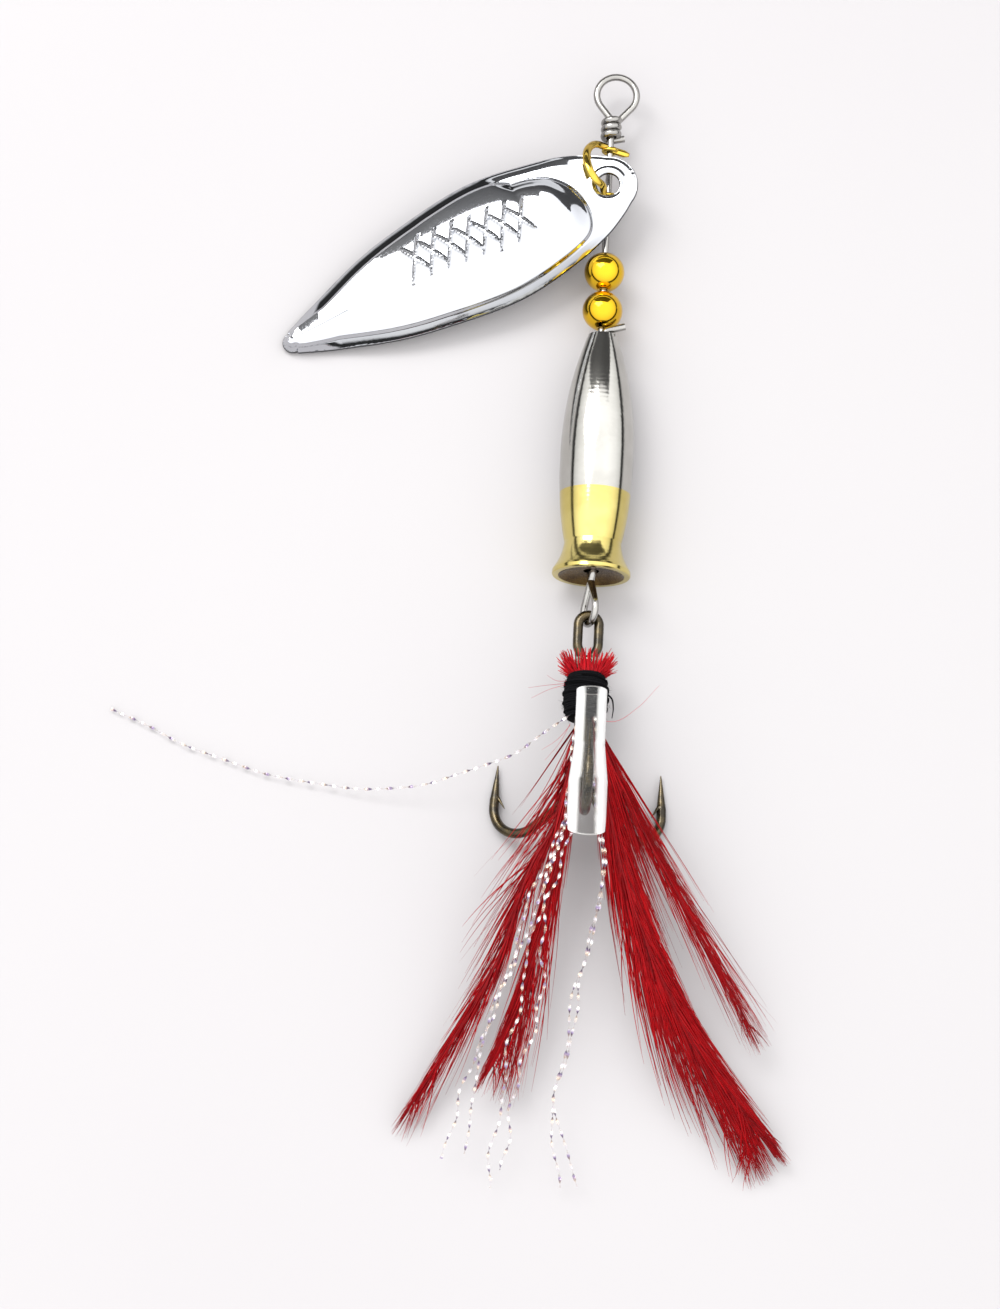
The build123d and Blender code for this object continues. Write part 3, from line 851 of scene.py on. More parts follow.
        x, y = spots[:, 0], spots[:, 1]
        inward = self.edge_distance(spots)
        leafward = ease((x - self.leaf_start) / self.leaf_run)
        from_centre = (x - self.arch_centre * self.reach) / (self.arch_half * self.reach)
        bell = np.clip(1 - from_centre ** 2, 0, None)
        gap = self.front_radius - np.hypot(x - self.front_centre[0], y - self.front_centre[1])
        beside = self.front_radius - np.abs(y - self.front_centre[1]) + (x - self.front_centre[0])
        front = np.where(x < self.front_centre[0], gap, beside)
        fade = 1 - self.front_fade * ease((y + 0.2) / 4.5)
        tipward = np.clip((self.reach - x) / self.tip_fade, self.tip_share, 1)
        rim = self.rim_width * np.where(y > 0, self.lower_rim, self.upper_rim) * tipward
        rim_gap = inward - rim
        inner = -self.blend * np.logaddexp(-rim_gap / self.blend, -front / self.blend)
        rise = self.rim_drop * np.clip(inward / rim, 0, 1) ** self.rim_power
        rise = rise + self.step_rise * ease(inner / self.step_width)
        rise = rise - self.rim_drop
        crown = np.clip(inner / (self.half_width - self.rim_width), 0, 1)
        rise = rise + self.dome * (1 - (1 - crown) ** 2)
        shoulder = self.front_rise * fade * (ease(front / self.front_run) - 1)
        shoulder = shoulder * ease(inward / self.front_reach)
        rise = rise + shoulder
        radius = np.hypot(x, y)
        from_ring = (radius - self.hole_radius - self.ring_offset) / self.ring_half
        ring = self.ring_height * np.exp(-from_ring ** 2)
        root_edge = -self.root_bevel * (1 - ease(inward / 0.5)) * (1 - leafward)
        level = self.thickness / 2 + self.rim_lift * leafward * (1 - 0.5 * np.clip(bell * 2.2, 0, 1))
        return level + self.arch * bell + leafward * rise + ring + root_edge + self.lattice(spots)

    def build(self, axes: Axes) -> bpy.types.Object:
        """Builds the leaf as two faces and a rounded wall round its edge and its hole.

        Args:
            axes: the blade's axes.

        Returns:
            The blade, which stands for its plain CAD node.
        """
        turn = np.linspace(0, math.pi, self.rows)
        middle = (self.reach - self.root_radius) / 2
        x = middle - (self.reach + self.root_radius) / 2 * np.cos(turn)
        x[0], x[-1] = x[0] + 0.004, x[-1] - 0.004
        across = np.linspace(-1, 1, self.columns)
        across = across * (0.8 + 0.2 * (2 - np.abs(across)))
        across = across / across[-1]
        spots = np.stack([np.repeat(x, self.columns),
                          (self.half_width_at(x)[:, None] * across[None]).ravel()], axis=1)
        number = np.arange(self.rows * self.columns).reshape(self.rows, self.columns)
        quads = np.stack([number[:-1, :-1], number[1:, :-1], number[1:, 1:], number[:-1, 1:]], axis=-1)
        quads = quads.reshape(-1, 4)
        centres = spots[quads].mean(axis=1)
        in_hole = np.hypot(centres[:, 0], centres[:, 1]) < self.hole_radius
        lip = np.intersect1d(quads[in_hole], quads[~in_hole])
        away = np.linalg.norm(spots[lip], axis=1, keepdims=True)
        spots[lip] *= self.hole_radius / away
        kept = quads[~in_hole]
        edges = np.concatenate([kept[:, [0, 1]], kept[:, [1, 2]], kept[:, [2, 3]], kept[:, [3, 0]]])
        seen = {(int(a), int(b)) for a, b in edges}
        border = [(a, b) for a, b in seen if (b, a) not in seen]
        used = np.unique(kept)
        renumber = np.full(len(spots), -1)
        renumber[used] = np.arange(len(used))
        plan = spots[used]
        top = np.column_stack([plan, self.height(plan)])
        under = top - [0, 0, self.thickness]
        at_root = plan[:, 0] < self.root_radius / 2
        # the root's underside stays flat to its edge, so it clears the shaft as the blade swings
        under[at_root, 2] = np.maximum(under[at_root, 2], self.root_bevel / 2 - self.thickness / 2)
        around = np.unique(np.array(border))
        outward = self.outward(spots[around])
        count = len(used)
        loops, wall = [renumber[around]], []
        for level, bulge in ((0.2, 0.08), (0.5, 0.12), (0.8, 0.08)):
            base = top[renumber[around]] - [0, 0, self.thickness * level]
            base[:, :2] += outward * bulge
            base[:, 2] = np.maximum(base[:, 2], under[renumber[around], 2] + 0.02)
            wall.append(base)
            loops.append(2 * count + len(around) * (len(wall) - 1) + np.arange(len(around)))
        loops.append(renumber[around] + count)
        slot_of = {int(spot): index for index, spot in enumerate(around)}
        faces = renumber[kept].tolist() + (renumber[kept][:, ::-1] + count).tolist()
        for high, low in zip(loops, loops[1:]):
            faces += [[int(high[slot_of[b]]), int(high[slot_of[a]]), int(low[slot_of[a]]),
                       int(low[slot_of[b]])] for a, b in border]
        skin = Skin()
        corners = np.concatenate([top, under, *wall])
        # the walls get shade 0, which the finish turns into painted shade
        shades = np.concatenate([np.full(2 * count, 0.5), np.zeros(len(corners) - 2 * count)])
        skin.add(corners, faces, shades, corners[:, 0])
        piece = skin.piece("blade_leaf", axes, Body.BLADE, Slot.BLADE, self.finish.build(), 45)
        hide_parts("blade")
        return piece

    def outward(self, spots: np.ndarray) -> np.ndarray:
        """Which way is out of the metal, at corners on the edge or on the hole.

        Args:
            spots: rows of length and width.

        Returns:
            A unit direction for each.
        """
        x, y = spots[:, 0], spots[:, 1]
        nudge = 0.05
        slope = (self.half_width_at(x + nudge) - self.half_width_at(x - nudge)) / (2 * nudge)
        way = np.stack([-np.clip(slope, -6, 6), np.sign(y)], axis=1)
        way[x < -0.98 * self.root_radius] = (-1, 0)
        way[x > self.reach - 0.02] = (1, 0)
        at_hole = np.hypot(x, y) < self.hole_radius + 0.01
        way[at_hole] = -spots[at_hole] * 0.5
        return way / (np.linalg.norm(way, axis=1, keepdims=True) + 1e-9)


# ---- the hook's dressing -------------------------------------------------------------------


@dataclass(frozen=True)
class Droop:
    """How the dressing lies: level past the hook's bends, then down to the surface."""

    level_end: float = 26.7
    reach: float = 57.5
    fall: float = 7.7
    layer_gap: float = 1.0

    def at(self, down: np.ndarray, layer: float) -> np.ndarray:
        """The height at distances down the shank.

        Args:
            down: the distances.
            layer: which layer, counted from the lowest at 0.

        Returns:
            The heights over the shank wires' plane.
        """
        share = np.clip((down - self.level_end) / (self.reach - self.level_end), 0, 1.1)
        return 0.5 + self.layer_gap * layer - self.fall * (0.44 * share + 0.56 * share ** 2)


@dataclass
class Plume:
    """One hackle feather: a tapered quill with barbs that sweep back along it and cling in locks."""

    name: str
    node: str
    quill: Points                 # sideways and down the shank
    left: Points                  # share along the quill, and how far the barbs reach
    right: Points
    layer: float
    barbs: int
    seed: int
    sweep: float = 0.2            # share of the quill that a barb runs along
    loose: float = 1.2            # over 1 leaves most barbs shorter than the envelope
    barb_radius: float = 0.085
    wisps: int = 26
    base_bias: float = 1.0        # over 1 puts more barbs near the quill's root
    lock: int = 7                 # barbs that cling together at their tips
    steps: int = 12
    run_spread: tuple[float, float] = (0.6, 1.25)
    tip_spread: tuple[float, float] = (0.97, 1.03)     # where the longest barbs stop
    bow_place: float = 0.42       # where a barb bows out, and by what share of its reach
    bow_reach: float = 0.62
    drift: float = 0.16           # how far barbs lie over and under the layer
    wander: float = 0.10
    wisp_loose: float = 0.5
    wisp_thickness: float = 0.42

    def barb_routes(self, rng: np.random.Generator, count: int, loose: float) -> np.ndarray:
        """Routes for barbs on both sides of the quill, in plan.

        Args:
            rng: the source of chance.
            count: how many barbs.
            loose: how many of them stay short.

        Returns:
            Routes shaped (barbs, steps, 2).
        """
        line = smooth_route(self.quill, 240)
        tangent = np.gradient(line, axis=0)
        tangent /= np.linalg.norm(tangent, axis=1, keepdims=True)
        length = np.linalg.norm(np.diff(line, axis=0), axis=1).sum()
        start = np.sort(0.95 * rng.uniform(0.0, 1.0, count) ** self.base_bias)
        side = np.where(rng.random(count) < 0.5, -1.0, 1.0)
        run = self.sweep * rng.uniform(*self.run_spread, count)
        end = np.minimum(start + run, rng.uniform(*self.tip_spread, count))
        run = end - start
        envelope = np.where(side < 0, np.interp(end, *np.array(self.left).T),
                            np.interp(end, *np.array(self.right).T))
        groups = np.arange(count) // self.lock
        shared = rng.random(groups.max() + 1)[groups]
        own = rng.random(count)
        reach = envelope * (0.55 * shared + 0.45 * own) ** (1 / loose) if loose < 1 else (
            envelope * (0.6 * shared + 0.4 * own) ** loose)

        def on_line(share: np.ndarray) -> tuple[np.ndarray, np.ndarray]:
            """A place on the quill, run on straight past its tip, and the direction there."""
            index = np.clip(share * 239, 0, 239).astype(int)
            past = np.clip(share - 1, 0, None)[:, None] * length
            return line[index] + tangent[index] * past, tangent[index]

        foot = on_line(start)[0]
        tip_base, tip_way = on_line(end)
        normal = np.stack([tip_way[:, 1], -tip_way[:, 0]], axis=1)
        tip = tip_base + normal * (side * reach)[:, None]
        bow_base, bow_way = on_line(start + self.bow_place * run)
        bow_normal = np.stack([bow_way[:, 1], -bow_way[:, 0]], axis=1)
        bow = bow_base + bow_normal * (side * reach * self.bow_reach)[:, None]
        t = np.linspace(0, 1, self.steps)[None, :, None]
        return foot[:, None] * (1 - t) ** 2 + 2 * bow[:, None] * t * (1 - t) + tip[:, None] * t ** 2

    def build(self, axes: Axes, droop: Droop, finish: bpy.types.Material) -> bpy.types.Object:
        """Builds the feather as one mesh of fine closed strands.

        Args:
            axes: the hook's axes.
            droop: how the dressing lies.
            finish: the feather's material.

        Returns:
            The feather, which stands for its plain CAD node.
        """
        rng = np.random.default_rng(self.seed)
        skin = Skin()
        for count, loose, thick in ((self.barbs, self.loose, 1.0),
                                    (self.wisps, self.wisp_loose, self.wisp_thickness)):
            plan = self.barb_routes(rng, count, loose)
            drift = rng.normal(0, self.drift, (count, 1))
            t = np.linspace(0, 1, self.steps)[None]
            size = rng.normal(0, self.wander, (count, 1))
            wander = size * np.sin(math.pi * t * rng.uniform(0.8, 2.2, (count, 1)))
            z = droop.at(plan[..., 1], self.layer) + drift * (0.3 + t) + wander
            routes = np.dstack([plan[..., 0] + wander, plan[..., 1], z])
            radii = self.barb_radius * thick * rng.uniform(0.7, 1.2, (count, 1)) * (1.02 - 0.9 * t ** 1.6)
            skin.tubes(routes, radii, rng.uniform(0.15, 0.85, count), flat=0.55)
        line = smooth_route(self.quill, 40)
        spine = np.dstack([line[None, :, 0], line[None, :, 1],
                           droop.at(line[None, :, 1], self.layer) + 0.12])
        skin.tubes(spine, np.linspace(0.24, 0.05, 40)[None], np.array([0.1]), sides=6)
        piece = skin.piece(self.name, axes, Body.HOOK, Slot.FEATHER, finish, 180)
        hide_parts(self.node)
        return piece


@dataclass
class Feathers:
    """The four dyed feathers, two on each side of the shank."""

    droop: Droop = Droop()
    finish: Fibre = Fibre("dyed_feather", (0.085, 0.0004, 0.002), (0.37, 0.0012, 0.004), 0.42)

    def plumes(self) -> list[Plume]:
        """The feathers' own shapes.

        Returns:
            One Plume for each feather.
        """
        return [
            Plume("left_long_feather", "feather_left_outer",
                  [(-0.7, 11.3), (-1.9, 21.9), (-5.0, 28.0), (-7.9, 38.0), (-13.6, 49.0), (-17.6, 56.0)],
                  [(0, 0.6), (0.2, 2.2), (0.34, 8.5), (0.45, 7.5), (0.6, 5.4), (0.7, 3.0),
                   (0.85, 1.2), (1.1, 0.5)],
                  [(0, 0.5), (0.3, 1.5), (0.5, 2.6), (0.75, 3.4), (0.95, 3.4), (1.1, 1.2)],
                  0.0, 330, 11, sweep=0.3, loose=1.9, wisps=50),
            Plume("left_short_feather", "feather_left_inner",
                  [(-0.6, 11.3), (-1.8, 24.0), (-3.6, 34.8), (-6.3, 45.3), (-9.0, 51.6)],
                  [(0, 0.6), (0.3, 2.4), (0.6, 1.8), (0.9, 1.2), (1.1, 0.5)],
                  [(0, 0.5), (0.3, 1.0), (0.5, 1.8), (0.7, 3.4), (0.9, 5.2), (1.1, 5.6)],
                  1.0, 330, 12, sweep=0.42, loose=1.2, wisps=44),
            Plume("right_long_feather", "feather_right_inner",
                  [(0.9, 11.3), (2.7, 20.0), (4.4, 27.3), (8.4, 37.2), (13.8, 46.6), (17.8, 51.0),
                   (23.0, 57.3)],
                  [(0, 0.6), (0.16, 0.9), (0.36, 2.9), (0.52, 4.6), (0.75, 6.6), (0.9, 7.0), (1.1, 3.4)],
                  [(0, 0.6), (0.1, 2.0), (0.2, 3.8), (0.33, 4.4), (0.48, 2.8), (0.75, 1.9),
                   (0.95, 1.8), (1.1, 0.8)],
                  1.0, 900, 13, sweep=0.34, loose=0.8, barb_radius=0.11, wisps=60),
            Plume("right_wide_feather", "feather_right_outer",
                  [(1.1, 11.3), (3.5, 17.5), (6.8, 23.5), (10.0, 28.8), (14.9, 36.5), (20.6, 45.6)],
                  [(0, 0.6), (0.2, 2.6), (0.4, 5.4), (0.6, 4.2), (0.8, 3.6), (1.1, 1.6)],
                  [(0, 0.4), (0.3, 0.8), (0.5, 1.4), (0.7, 3.6), (0.9, 4.6), (1.1, 2.6)],
                  0.0, 240, 14, sweep=0.5, loose=1.5, barb_radius=0.065, wisps=60, base_bias=2.2),
        ]

    def build(self, axes: Axes) -> list[bpy.types.Object]:
        """Builds every feather.

        Args:
            axes: the hook's axes.

        Returns:
            The feathers.
        """
        material = self.finish.build()
        return [plume.build(axes, self.droop, material) for plume in self.plumes()]


@dataclass
class FeatherButts:
    """The clipped feather ends that stand out round the shank above the thread."""

    fibres: int = 230
    foot: float = 6.4            # distance down the shank to their roots
    foot_radius: float = 1.75
    centre_height: float = 0.33
    lean: float = 0.35            # how far the side tufts point up, in radians
    lobes: tuple[float, float, float] = (0.42, 0.36, 0.22)   # shares: right, left, over the top
    scatter: float = 0.55
    top_spread: tuple[float, float] = (0.1, 0.6)
    side_spread: tuple[float, float] = (0.2, 1.7)
    top_rise: tuple[float, float] = (1.2, 2.9)
    side_rise: tuple[float, float] = (0.6, 2.8)
    seed: int = 21
    finish: Fibre = Fibre("clipped_feather", (0.14, 0.001, 0.004), (0.50, 0.006, 0.012), 0.5, root=1.0)

    def build(self, axes: Axes) -> bpy.types.Object:
        """Builds short fibres that fan out from under the thread.

        Args:
            axes: the hook's axes.

        Returns:
            The butts, which stand for their CAD ring.
        """
        rng = np.random.default_rng(self.seed)
        count = self.fibres
        # most fibres stand at the two sides, a few lie over the top
        lobe = rng.choice([self.lean, math.pi - self.lean, math.pi / 2], count, p=self.lobes)
        angle = lobe + rng.normal(0, self.scatter, count)
        over_top = np.abs(angle - math.pi / 2) < 0.6
        spread = np.where(over_top, rng.uniform(*self.top_spread, count),
                          rng.uniform(*self.side_spread, count))
        rise = np.where(over_top, rng.uniform(*self.top_rise, count),
                        rng.uniform(*self.side_rise, count))
        t = np.linspace(0, 1, 6)[None]
        radius = self.foot_radius + spread[:, None] * t ** 1.3
        down = self.foot - rise[:, None] * t
        wobble = rng.normal(0, 0.12, (count, 1)) * t
        routes = np.dstack([radius * np.cos(angle)[:, None] + wobble, down,
                            self.centre_height + radius * np.sin(angle)[:, None]])
        radii = rng.uniform(0.06, 0.13, (count, 1)) * (1.05 - 0.75 * t)
        skin = Skin()
        skin.tubes(routes, radii, rng.uniform(0.1, 0.9, count), sides=4, flat=0.5)
        piece = skin.piece("clipped_butts", axes, Body.HOOK, Slot.FEATHER, self.finish.build(), 180)
        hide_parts("feather_butts")
        return piece


@dataclass
class ThreadWrap:
    """Black thread wound over the dressing's roots, with its fuzz and loose end."""

    top: float = 6.2
    low: float = 11.2
    middle_radius: float = 2.35
    end_radius: float = 1.85
    centre_height: float = 0.33
    thread_radius: float = 0.13
    turns: float = 21.0
    hairs: int = 420
    seed: int = 31
    finish: Fibre = Fibre("black_thread", (0.0008, 0.0008, 0.001), (0.006, 0.006, 0.007),
                          0.8, 0.02, 0.5, 0.04)

    def radius_at(self, share: np.ndarray) -> np.ndarray:
        """The barrel's radius along the wrap.

        Args:
            share: places from 0 at the top to 1 at the low end.

        Returns:
            The radii.
        """
        return self.end_radius + (self.middle_radius - self.end_radius) * np.sin(math.pi * share) ** 0.7

    def helix(self, turns: float, start: float, end: float, lift: float, steps: int) -> np.ndarray:
        """One winding pass along the barrel.

        Args:
            turns: how many turns it makes.
            start: where it starts, as a share of the barrel.
            end: where it ends.
            lift: how far it lies over the barrel.
            steps: how many points it gets.

        Returns:
            Its points.
        """
        share = np.linspace(start, end, steps)
        angle = 2 * math.pi * turns * np.linspace(0, 1, steps)
        radius = self.radius_at(share) + lift
        return np.stack([radius * np.cos(angle), self.top + (self.low - self.top) * share,
                         self.centre_height + radius * np.sin(angle)], axis=1)

    def build(self, axes: Axes) -> list[bpy.types.Object]:
        """Builds the barrel with its windings, and the fuzz.

        Args:
            axes: the hook's axes.

        Returns:
            The winding, which stands for its CAD barrel, and the fuzz.
        """
        rng = np.random.default_rng(self.seed)
        material = self.finish.build()
        skin = Skin()
        share = np.linspace(0.0, 1.0, 24)
        profile = np.stack([self.top + (self.low - self.top) * share, self.radius_at(share) - 0.05], axis=1)
        lathe(skin, profile, self.centre_height)
        passes = [(self.turns, 0.0, 1.0, 0.0, 900), (4.3, 0.95, 0.1, 0.14, 200),
                  (-3.1, 0.08, 0.8, 0.16, 160)]
        for turns, start, end, lift, steps in passes:
            route = self.helix(turns, start, end, lift, steps)[None]
            skin.tubes(route, np.full((1, steps), self.thread_radius), rng.random(1), sides=6)
        tail = smooth_route([(2.1, 8.4, 1.4), (2.8, 8.9, 1.2), (3.05, 9.9, 0.9), (3.0, 10.9, 0.3)], 24)[None]
        skin.tubes(tail, np.linspace(0.12, 0.05, 24)[None], rng.random(1), sides=5)
        wrap = skin.piece("thread_winding", axes, Body.HOOK, Slot.THREAD, material, 180)
        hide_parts("thread_wrap")
        return [wrap, self.fuzz(axes, rng, material)]

    def fuzz(self, axes: Axes, rng: np.random.Generator, material: bpy.types.Material) -> bpy.types.Object:
        """Builds the short hairs that stand off the thread.

        Args:
            axes: the hook's axes.
            rng: the source of chance.
            material: the thread's material.

        Returns:
            The fuzz.
        """
        count = self.hairs
        share, angle = rng.uniform(0, 1, count), rng.uniform(0, 2 * math.pi, count)
        reach = rng.uniform(0.15, 0.8, count) * rng.choice([0.6, 1.0], count)
        t = np.linspace(0, 1, 5)[None]
        radius = (self.radius_at(share) - 0.05)[:, None] + reach[:, None] * t
        swirl = angle[:, None] + rng.normal(0, 0.35, (count, 1)) * t ** 2
        down = self.top + (self.low - self.top) * share[:, None] + rng.normal(0, 0.4, (count, 1)) * t
        routes = np.dstack([radius * np.cos(swirl), down, self.centre_height + radius * np.sin(swirl)])
        radii = rng.uniform(0.018, 0.035, (count, 1)) * (1.1 - t)
        skin = Skin()
        skin.tubes(routes, radii, rng.random(count))
        return skin.piece("thread_fuzz", axes, Body.HOOK, Slot.THREAD, material, 180)


@dataclass
class Tinsel:
    """Twisted ribbons of pearly film: a left group, a middle pair and one long stray."""

    half_width: float = 0.16
    flat: float = 0.14
    twist: float = 2.5
    steps: int = 420
    layer: float = 2.1
    seed: int = 41
    droop: Droop = Droop()
    finish: Pearl = Pearl()

    def strand(self, knots: Points, rng: np.random.Generator) -> np.ndarray:
        """One strand, with a slight waver along it.

        Args:
            knots: points sideways and down the shank, and any height of their own.
            rng: the source of chance.

        Returns:
            The strand's points.
        """
        line = smooth_route(knots, self.steps)
        t = np.linspace(0, 1, self.steps)
        waver = sum(rng.normal(0, 0.22) * np.sin(2 * math.pi * (rate * t + rng.random()))
                    for rate in (3, 5, 9))
        waver = waver * np.minimum(1, 6 * t)
        if line.shape[1] == 2:
            line = np.column_stack([line, self.droop.at(line[:, 1], self.layer) + 0.25])
        return line + np.stack([waver, 0 * t, 0 * t], axis=1)

    def build(self, axes: Axes) -> list[bpy.types.Object]:
        """Builds the three groups.

        Args:
            axes: the hook's axes.

        Returns:
            The groups, which stand for the CAD strands.
        """
        groups = {
            "tinsel_left": [
                [(-0.8, 11.3), (-1.1, 23.0), (-3.2, 33.2), (-3.4, 41.0), (-5.4, 53.0), (-6.6, 60.4)],
                [(-0.9, 11.3), (-1.4, 22.0), (-3.6, 31.0), (-5.5, 42.0), (-7.0, 53.5), (-7.8, 62.4)],
                [(-1.0, 11.3), (-1.9, 22.5), (-5.2, 33.0), (-7.8, 43.0), (-11.4, 53.5), (-13.1, 59.6)],
                [(-1.0, 11.3), (-1.6, 23.0), (-4.6, 34.0), (-8.7, 45.0), (-10.0, 53.5), (-10.4, 59.0)]],
            "tinsel_middle": [
                [(0.9, 11.3), (1.7, 21.0), (2.2, 29.5), (1.7, 37.0), (0.1, 45.0), (-1.0, 53.5), (-0.4, 61.9)],
                [(1.0, 11.3), (2.0, 21.5), (2.5, 30.0), (1.2, 38.5), (-0.6, 47.0), (-0.9, 54.0),
                 (2.0, 61.7)]],
            "tinsel_stray": [
                [(-1.7, 11.3, 1.9), (-4.4, 13.4, 1.3), (-10.2, 16.6, -0.6), (-17.0, 18.8, -3.0),
                 (-23.4, 19.4, -4.3), (-31.8, 18.6, -4.85), (-42.4, 16.0, -4.85), (-51.8, 11.9, -4.7)]],
        }
        rng = np.random.default_rng(self.seed)
        material = self.finish.build()
        pieces = []
        for node, strands in groups.items():
            routes = np.stack([self.strand(knots, rng) for knots in strands])
            skin = Skin()
            radii = np.full(routes.shape[:2], self.half_width)
            skin.tubes(routes, radii, rng.random(len(strands)), sides=4, flat=self.flat, twist=self.twist)
            piece = skin.piece(node + "_film", axes, Body.HOOK, Slot.TINSEL, material, 40)
            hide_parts(node)
            pieces.append(piece)
        return pieces


@dataclass
class LooseFibres:
    """A few fine pink fibres that stray from the thread wrap."""

    radius: float = 0.035
    finish: Fibre = Fibre("loose_fibre", (0.32, 0.03, 0.05), (0.55, 0.10, 0.12), 0.5, root=0.5)

    def build(self, axes: Axes) -> bpy.types.Object:
        """Builds the fibres as one piece.

        Args:
            axes: the hook's axes.

        Returns:
            The fibres.
        """
        runs = [
            [(-2.0, 7.4, 1.0), (-3.8, 7.7, 1.1), (-6.4, 8.2, 1.0)],
            [(-2.0, 7.5, 1.0), (-4.0, 8.2, 1.0), (-6.0, 9.3, 0.8)],
            [(-2.0, 7.2, 1.2), (-3.4, 7.3, 1.4), (-4.4, 6.8, 1.5)],
            [(1.6, 11.5, 1.2), (3.2, 11.6, 1.4), (5.6, 10.0, 1.6), (8.0, 7.2, 1.8)],
            [(-1.6, 12.0, 1.0), (-2.6, 14.2, 1.1), (-4.2, 16.4, 1.0)],
            [(-1.6, 12.2, 1.0), (-3.0, 14.0, 1.0), (-4.6, 15.2, 0.9)],
        ]
        routes = np.stack([smooth_route(knots, 20) for knots in runs])
        skin = Skin()
        radii = np.repeat(np.linspace(1.0, 0.4, 20)[None] * self.radius, len(runs), axis=0)
        skin.tubes(routes, radii, np.linspace(0.2, 0.9, len(runs)))
        return skin.piece("loose_fibres", axes, Body.HOOK, Slot.FEATHER, self.finish.build(), 180)


# ---- studio --------------------------------------------------------------------------------


def staged_sheet(name: str, finish: bpy.types.Material, corners: Points) -> bpy.types.Object:
    """Makes one flat sheet for the studio.

    Args:
        name: the sheet's name.
        finish: its material.
        corners: its four corners in metres, in order round it.

    Returns:
        The sheet.
    """
    mesh = bpy.data.meshes.new(name)
    mesh.from_pydata(corners, [], [(0, 1, 2, 3)])
    mesh.materials.append(finish)
    item = bpy.data.objects.new(name, mesh)
    bpy.context.scene.collection.objects.link(item)
    return item


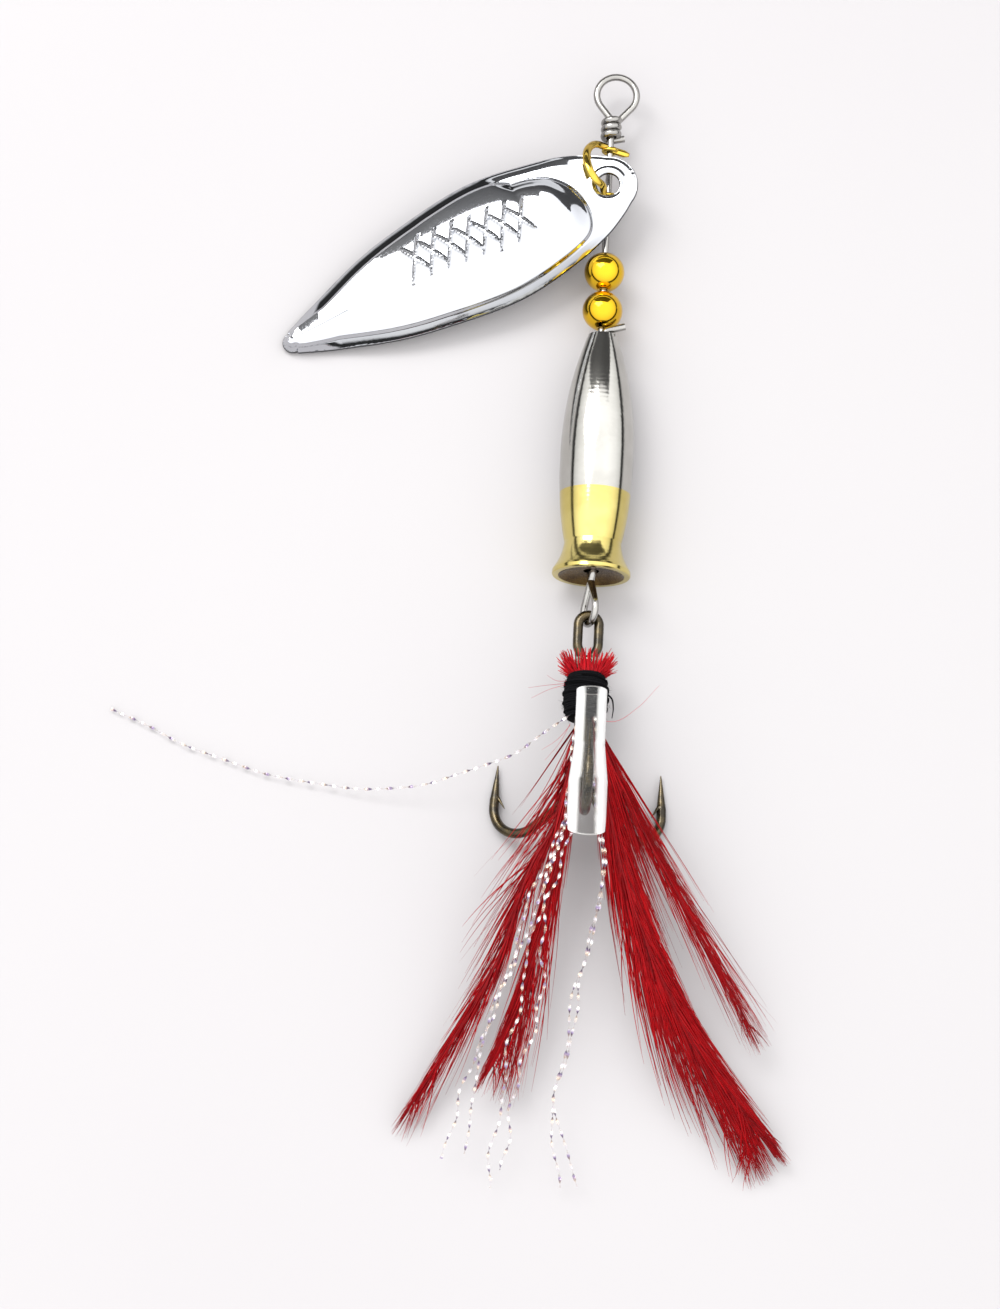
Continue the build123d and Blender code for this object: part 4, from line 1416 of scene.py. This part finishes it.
@dataclass
class Studio:
    """A pale floor, a wide soft light tent and the camera over the lure."""

    floor_half: float = 0.9
    target: tuple[float, float, float] = (-9.95, -67.6, 0.0)
    azimuth: float = -7.3
    elevation: float = 75.1
    roll: float = 10.7
    distance: float = 397.8
    view_angle: float = 20.66
    tent: float = 2.2            # the world's strength
    tent_bands: Points = field(default_factory=lambda: [
        (0.0, 0.25), (0.515, 0.25), (0.53, 0.02), (0.59, 0.02), (0.615, 0.55), (0.75, 0.8), (0.93, 1.0)])
    lamp_power: float = 3.4
    lamp_size: float = 0.35
    lamp_place: tuple[float, float, float] = (-0.25, 0.25, 0.5)
    lamp_aim: tuple[float, float, float] = (0, -0.06, 0)
    card_sides: tuple[float, float] = (-0.34, 0.24)
    card_near: float = 0.32
    card_low: float = 0.12
    card_high: float = 0.46
    card_finish: Metal = Metal("dark_card", (0.22, 0.22, 0.22), (0.17, 0.17, 0.17), 0.9, 1.0)

    def floor(self) -> bpy.types.Object:
        """Lays the floor just under the lure's lowest point.

        Returns:
            The floor.
        """
        low = CAD_BOX[0][2] - 0.00002
        half = self.floor_half
        item = staged_sheet("pale_floor", PaleFloor().build(), [
            (-half, -half, low), (half, -half, low), (half, half, low), (-half, half, low)])
        return item

    def light(self) -> None:
        """Sets the light tent as the world, with a dark gap over the floor, and one soft lamp."""
        world = bpy.data.worlds.new("light_tent")
        bpy.context.scene.world = world
        world.use_nodes = True
        tree = world.node_tree
        where = tree.nodes.new("ShaderNodeTexCoord")
        split = tree.nodes.new("ShaderNodeSeparateXYZ")
        bands = tree.nodes.new("ShaderNodeValToRGB")
        while len(bands.color_ramp.elements) < len(self.tent_bands):
            bands.color_ramp.elements.new(0.5)
        for element, (place, value) in zip(bands.color_ramp.elements, self.tent_bands):
            element.position = place
            element.color = (value, value, value * 1.005, 1)
        lifted = tree.nodes.new("ShaderNodeMapRange")
        lifted.inputs["From Min"].default_value = -1.0
        tree.links.new(where.outputs["Generated"], split.inputs[0])
        tree.links.new(split.outputs["Z"], lifted.inputs["Value"])
        tree.links.new(lifted.outputs["Result"], bands.inputs["Fac"])
        sky = tree.nodes["Background"]
        sky.inputs["Strength"].default_value = self.tent
        tree.links.new(bands.outputs["Color"], sky.inputs["Color"])
        lamp = bpy.data.objects.new("soft_lamp", bpy.data.lights.new("soft_lamp", "AREA"))
        lamp.data.energy = self.lamp_power
        lamp.data.size = self.lamp_size
        lamp.location = self.lamp_place
        aim = Vector(self.lamp_aim) - lamp.location
        lamp.rotation_euler = aim.to_track_quat("-Z", "Y").to_euler()
        bpy.context.scene.collection.objects.link(lamp)

    def card(self) -> bpy.types.Object:
        """Stands a grey card ahead of the lure, which the bright metal picks up as a streak.

        Returns:
            The card.
        """
        (left, right), near = self.card_sides, self.card_near
        low, high = self.card_low, self.card_high
        item = staged_sheet("dark_card", self.card_finish.build(), [
            (left, near, low), (right, near, low), (right, near, high), (left, near, high)])
        return item

    def camera(self) -> bpy.types.Object:
        """Places the camera.

        Returns:
            The camera.
        """
        turn, lift, roll = (math.radians(a) for a in (self.azimuth, self.elevation, self.roll))
        back = Vector((math.sin(turn) * math.cos(lift), -math.cos(turn) * math.cos(lift), math.sin(lift)))
        right = (-back).cross(Vector((0, 0, 1))).normalized()
        up = right.cross(-back)
        axes = (right * math.cos(roll) + up * math.sin(roll),
                up * math.cos(roll) - right * math.sin(roll), back)
        place = Matrix.Translation((Vector(self.target) + back * self.distance) * MM)
        data = bpy.data.cameras.new("camera")
        data.sensor_fit = "VERTICAL"
        data.lens = data.sensor_height / 2 / math.tan(math.radians(self.view_angle) / 2)
        data.clip_start, data.clip_end = 0.01, 10
        item = bpy.data.objects.new("camera", data)
        item.matrix_world = place @ Matrix(axes).transposed().to_4x4()
        bpy.context.scene.collection.objects.link(item)
        bpy.context.scene.camera = item
        return item

    def build(self) -> None:
        """Builds the floor, the light and the camera."""
        self.floor()
        self.light()
        self.card()
        self.camera()
        bpy.context.scene.view_settings.view_transform = "Standard"


def main() -> None:
    """Builds the studio and each sub-assembly in order."""
    logging.basicConfig(level=logging.INFO, format="%(name)s %(message)s")
    Studio().build()
    MetalWork().dress()
    Clevis().build()
    Blade().build(blade_axes())
    shank = hook_axes()
    for part in (ThreadWrap(), FeatherButts(), Feathers(), Tinsel(), LooseFibres()):
        log.info("%s built", type(part).__name__)
        part.build(shank)


if __name__ == "__main__":
    main()
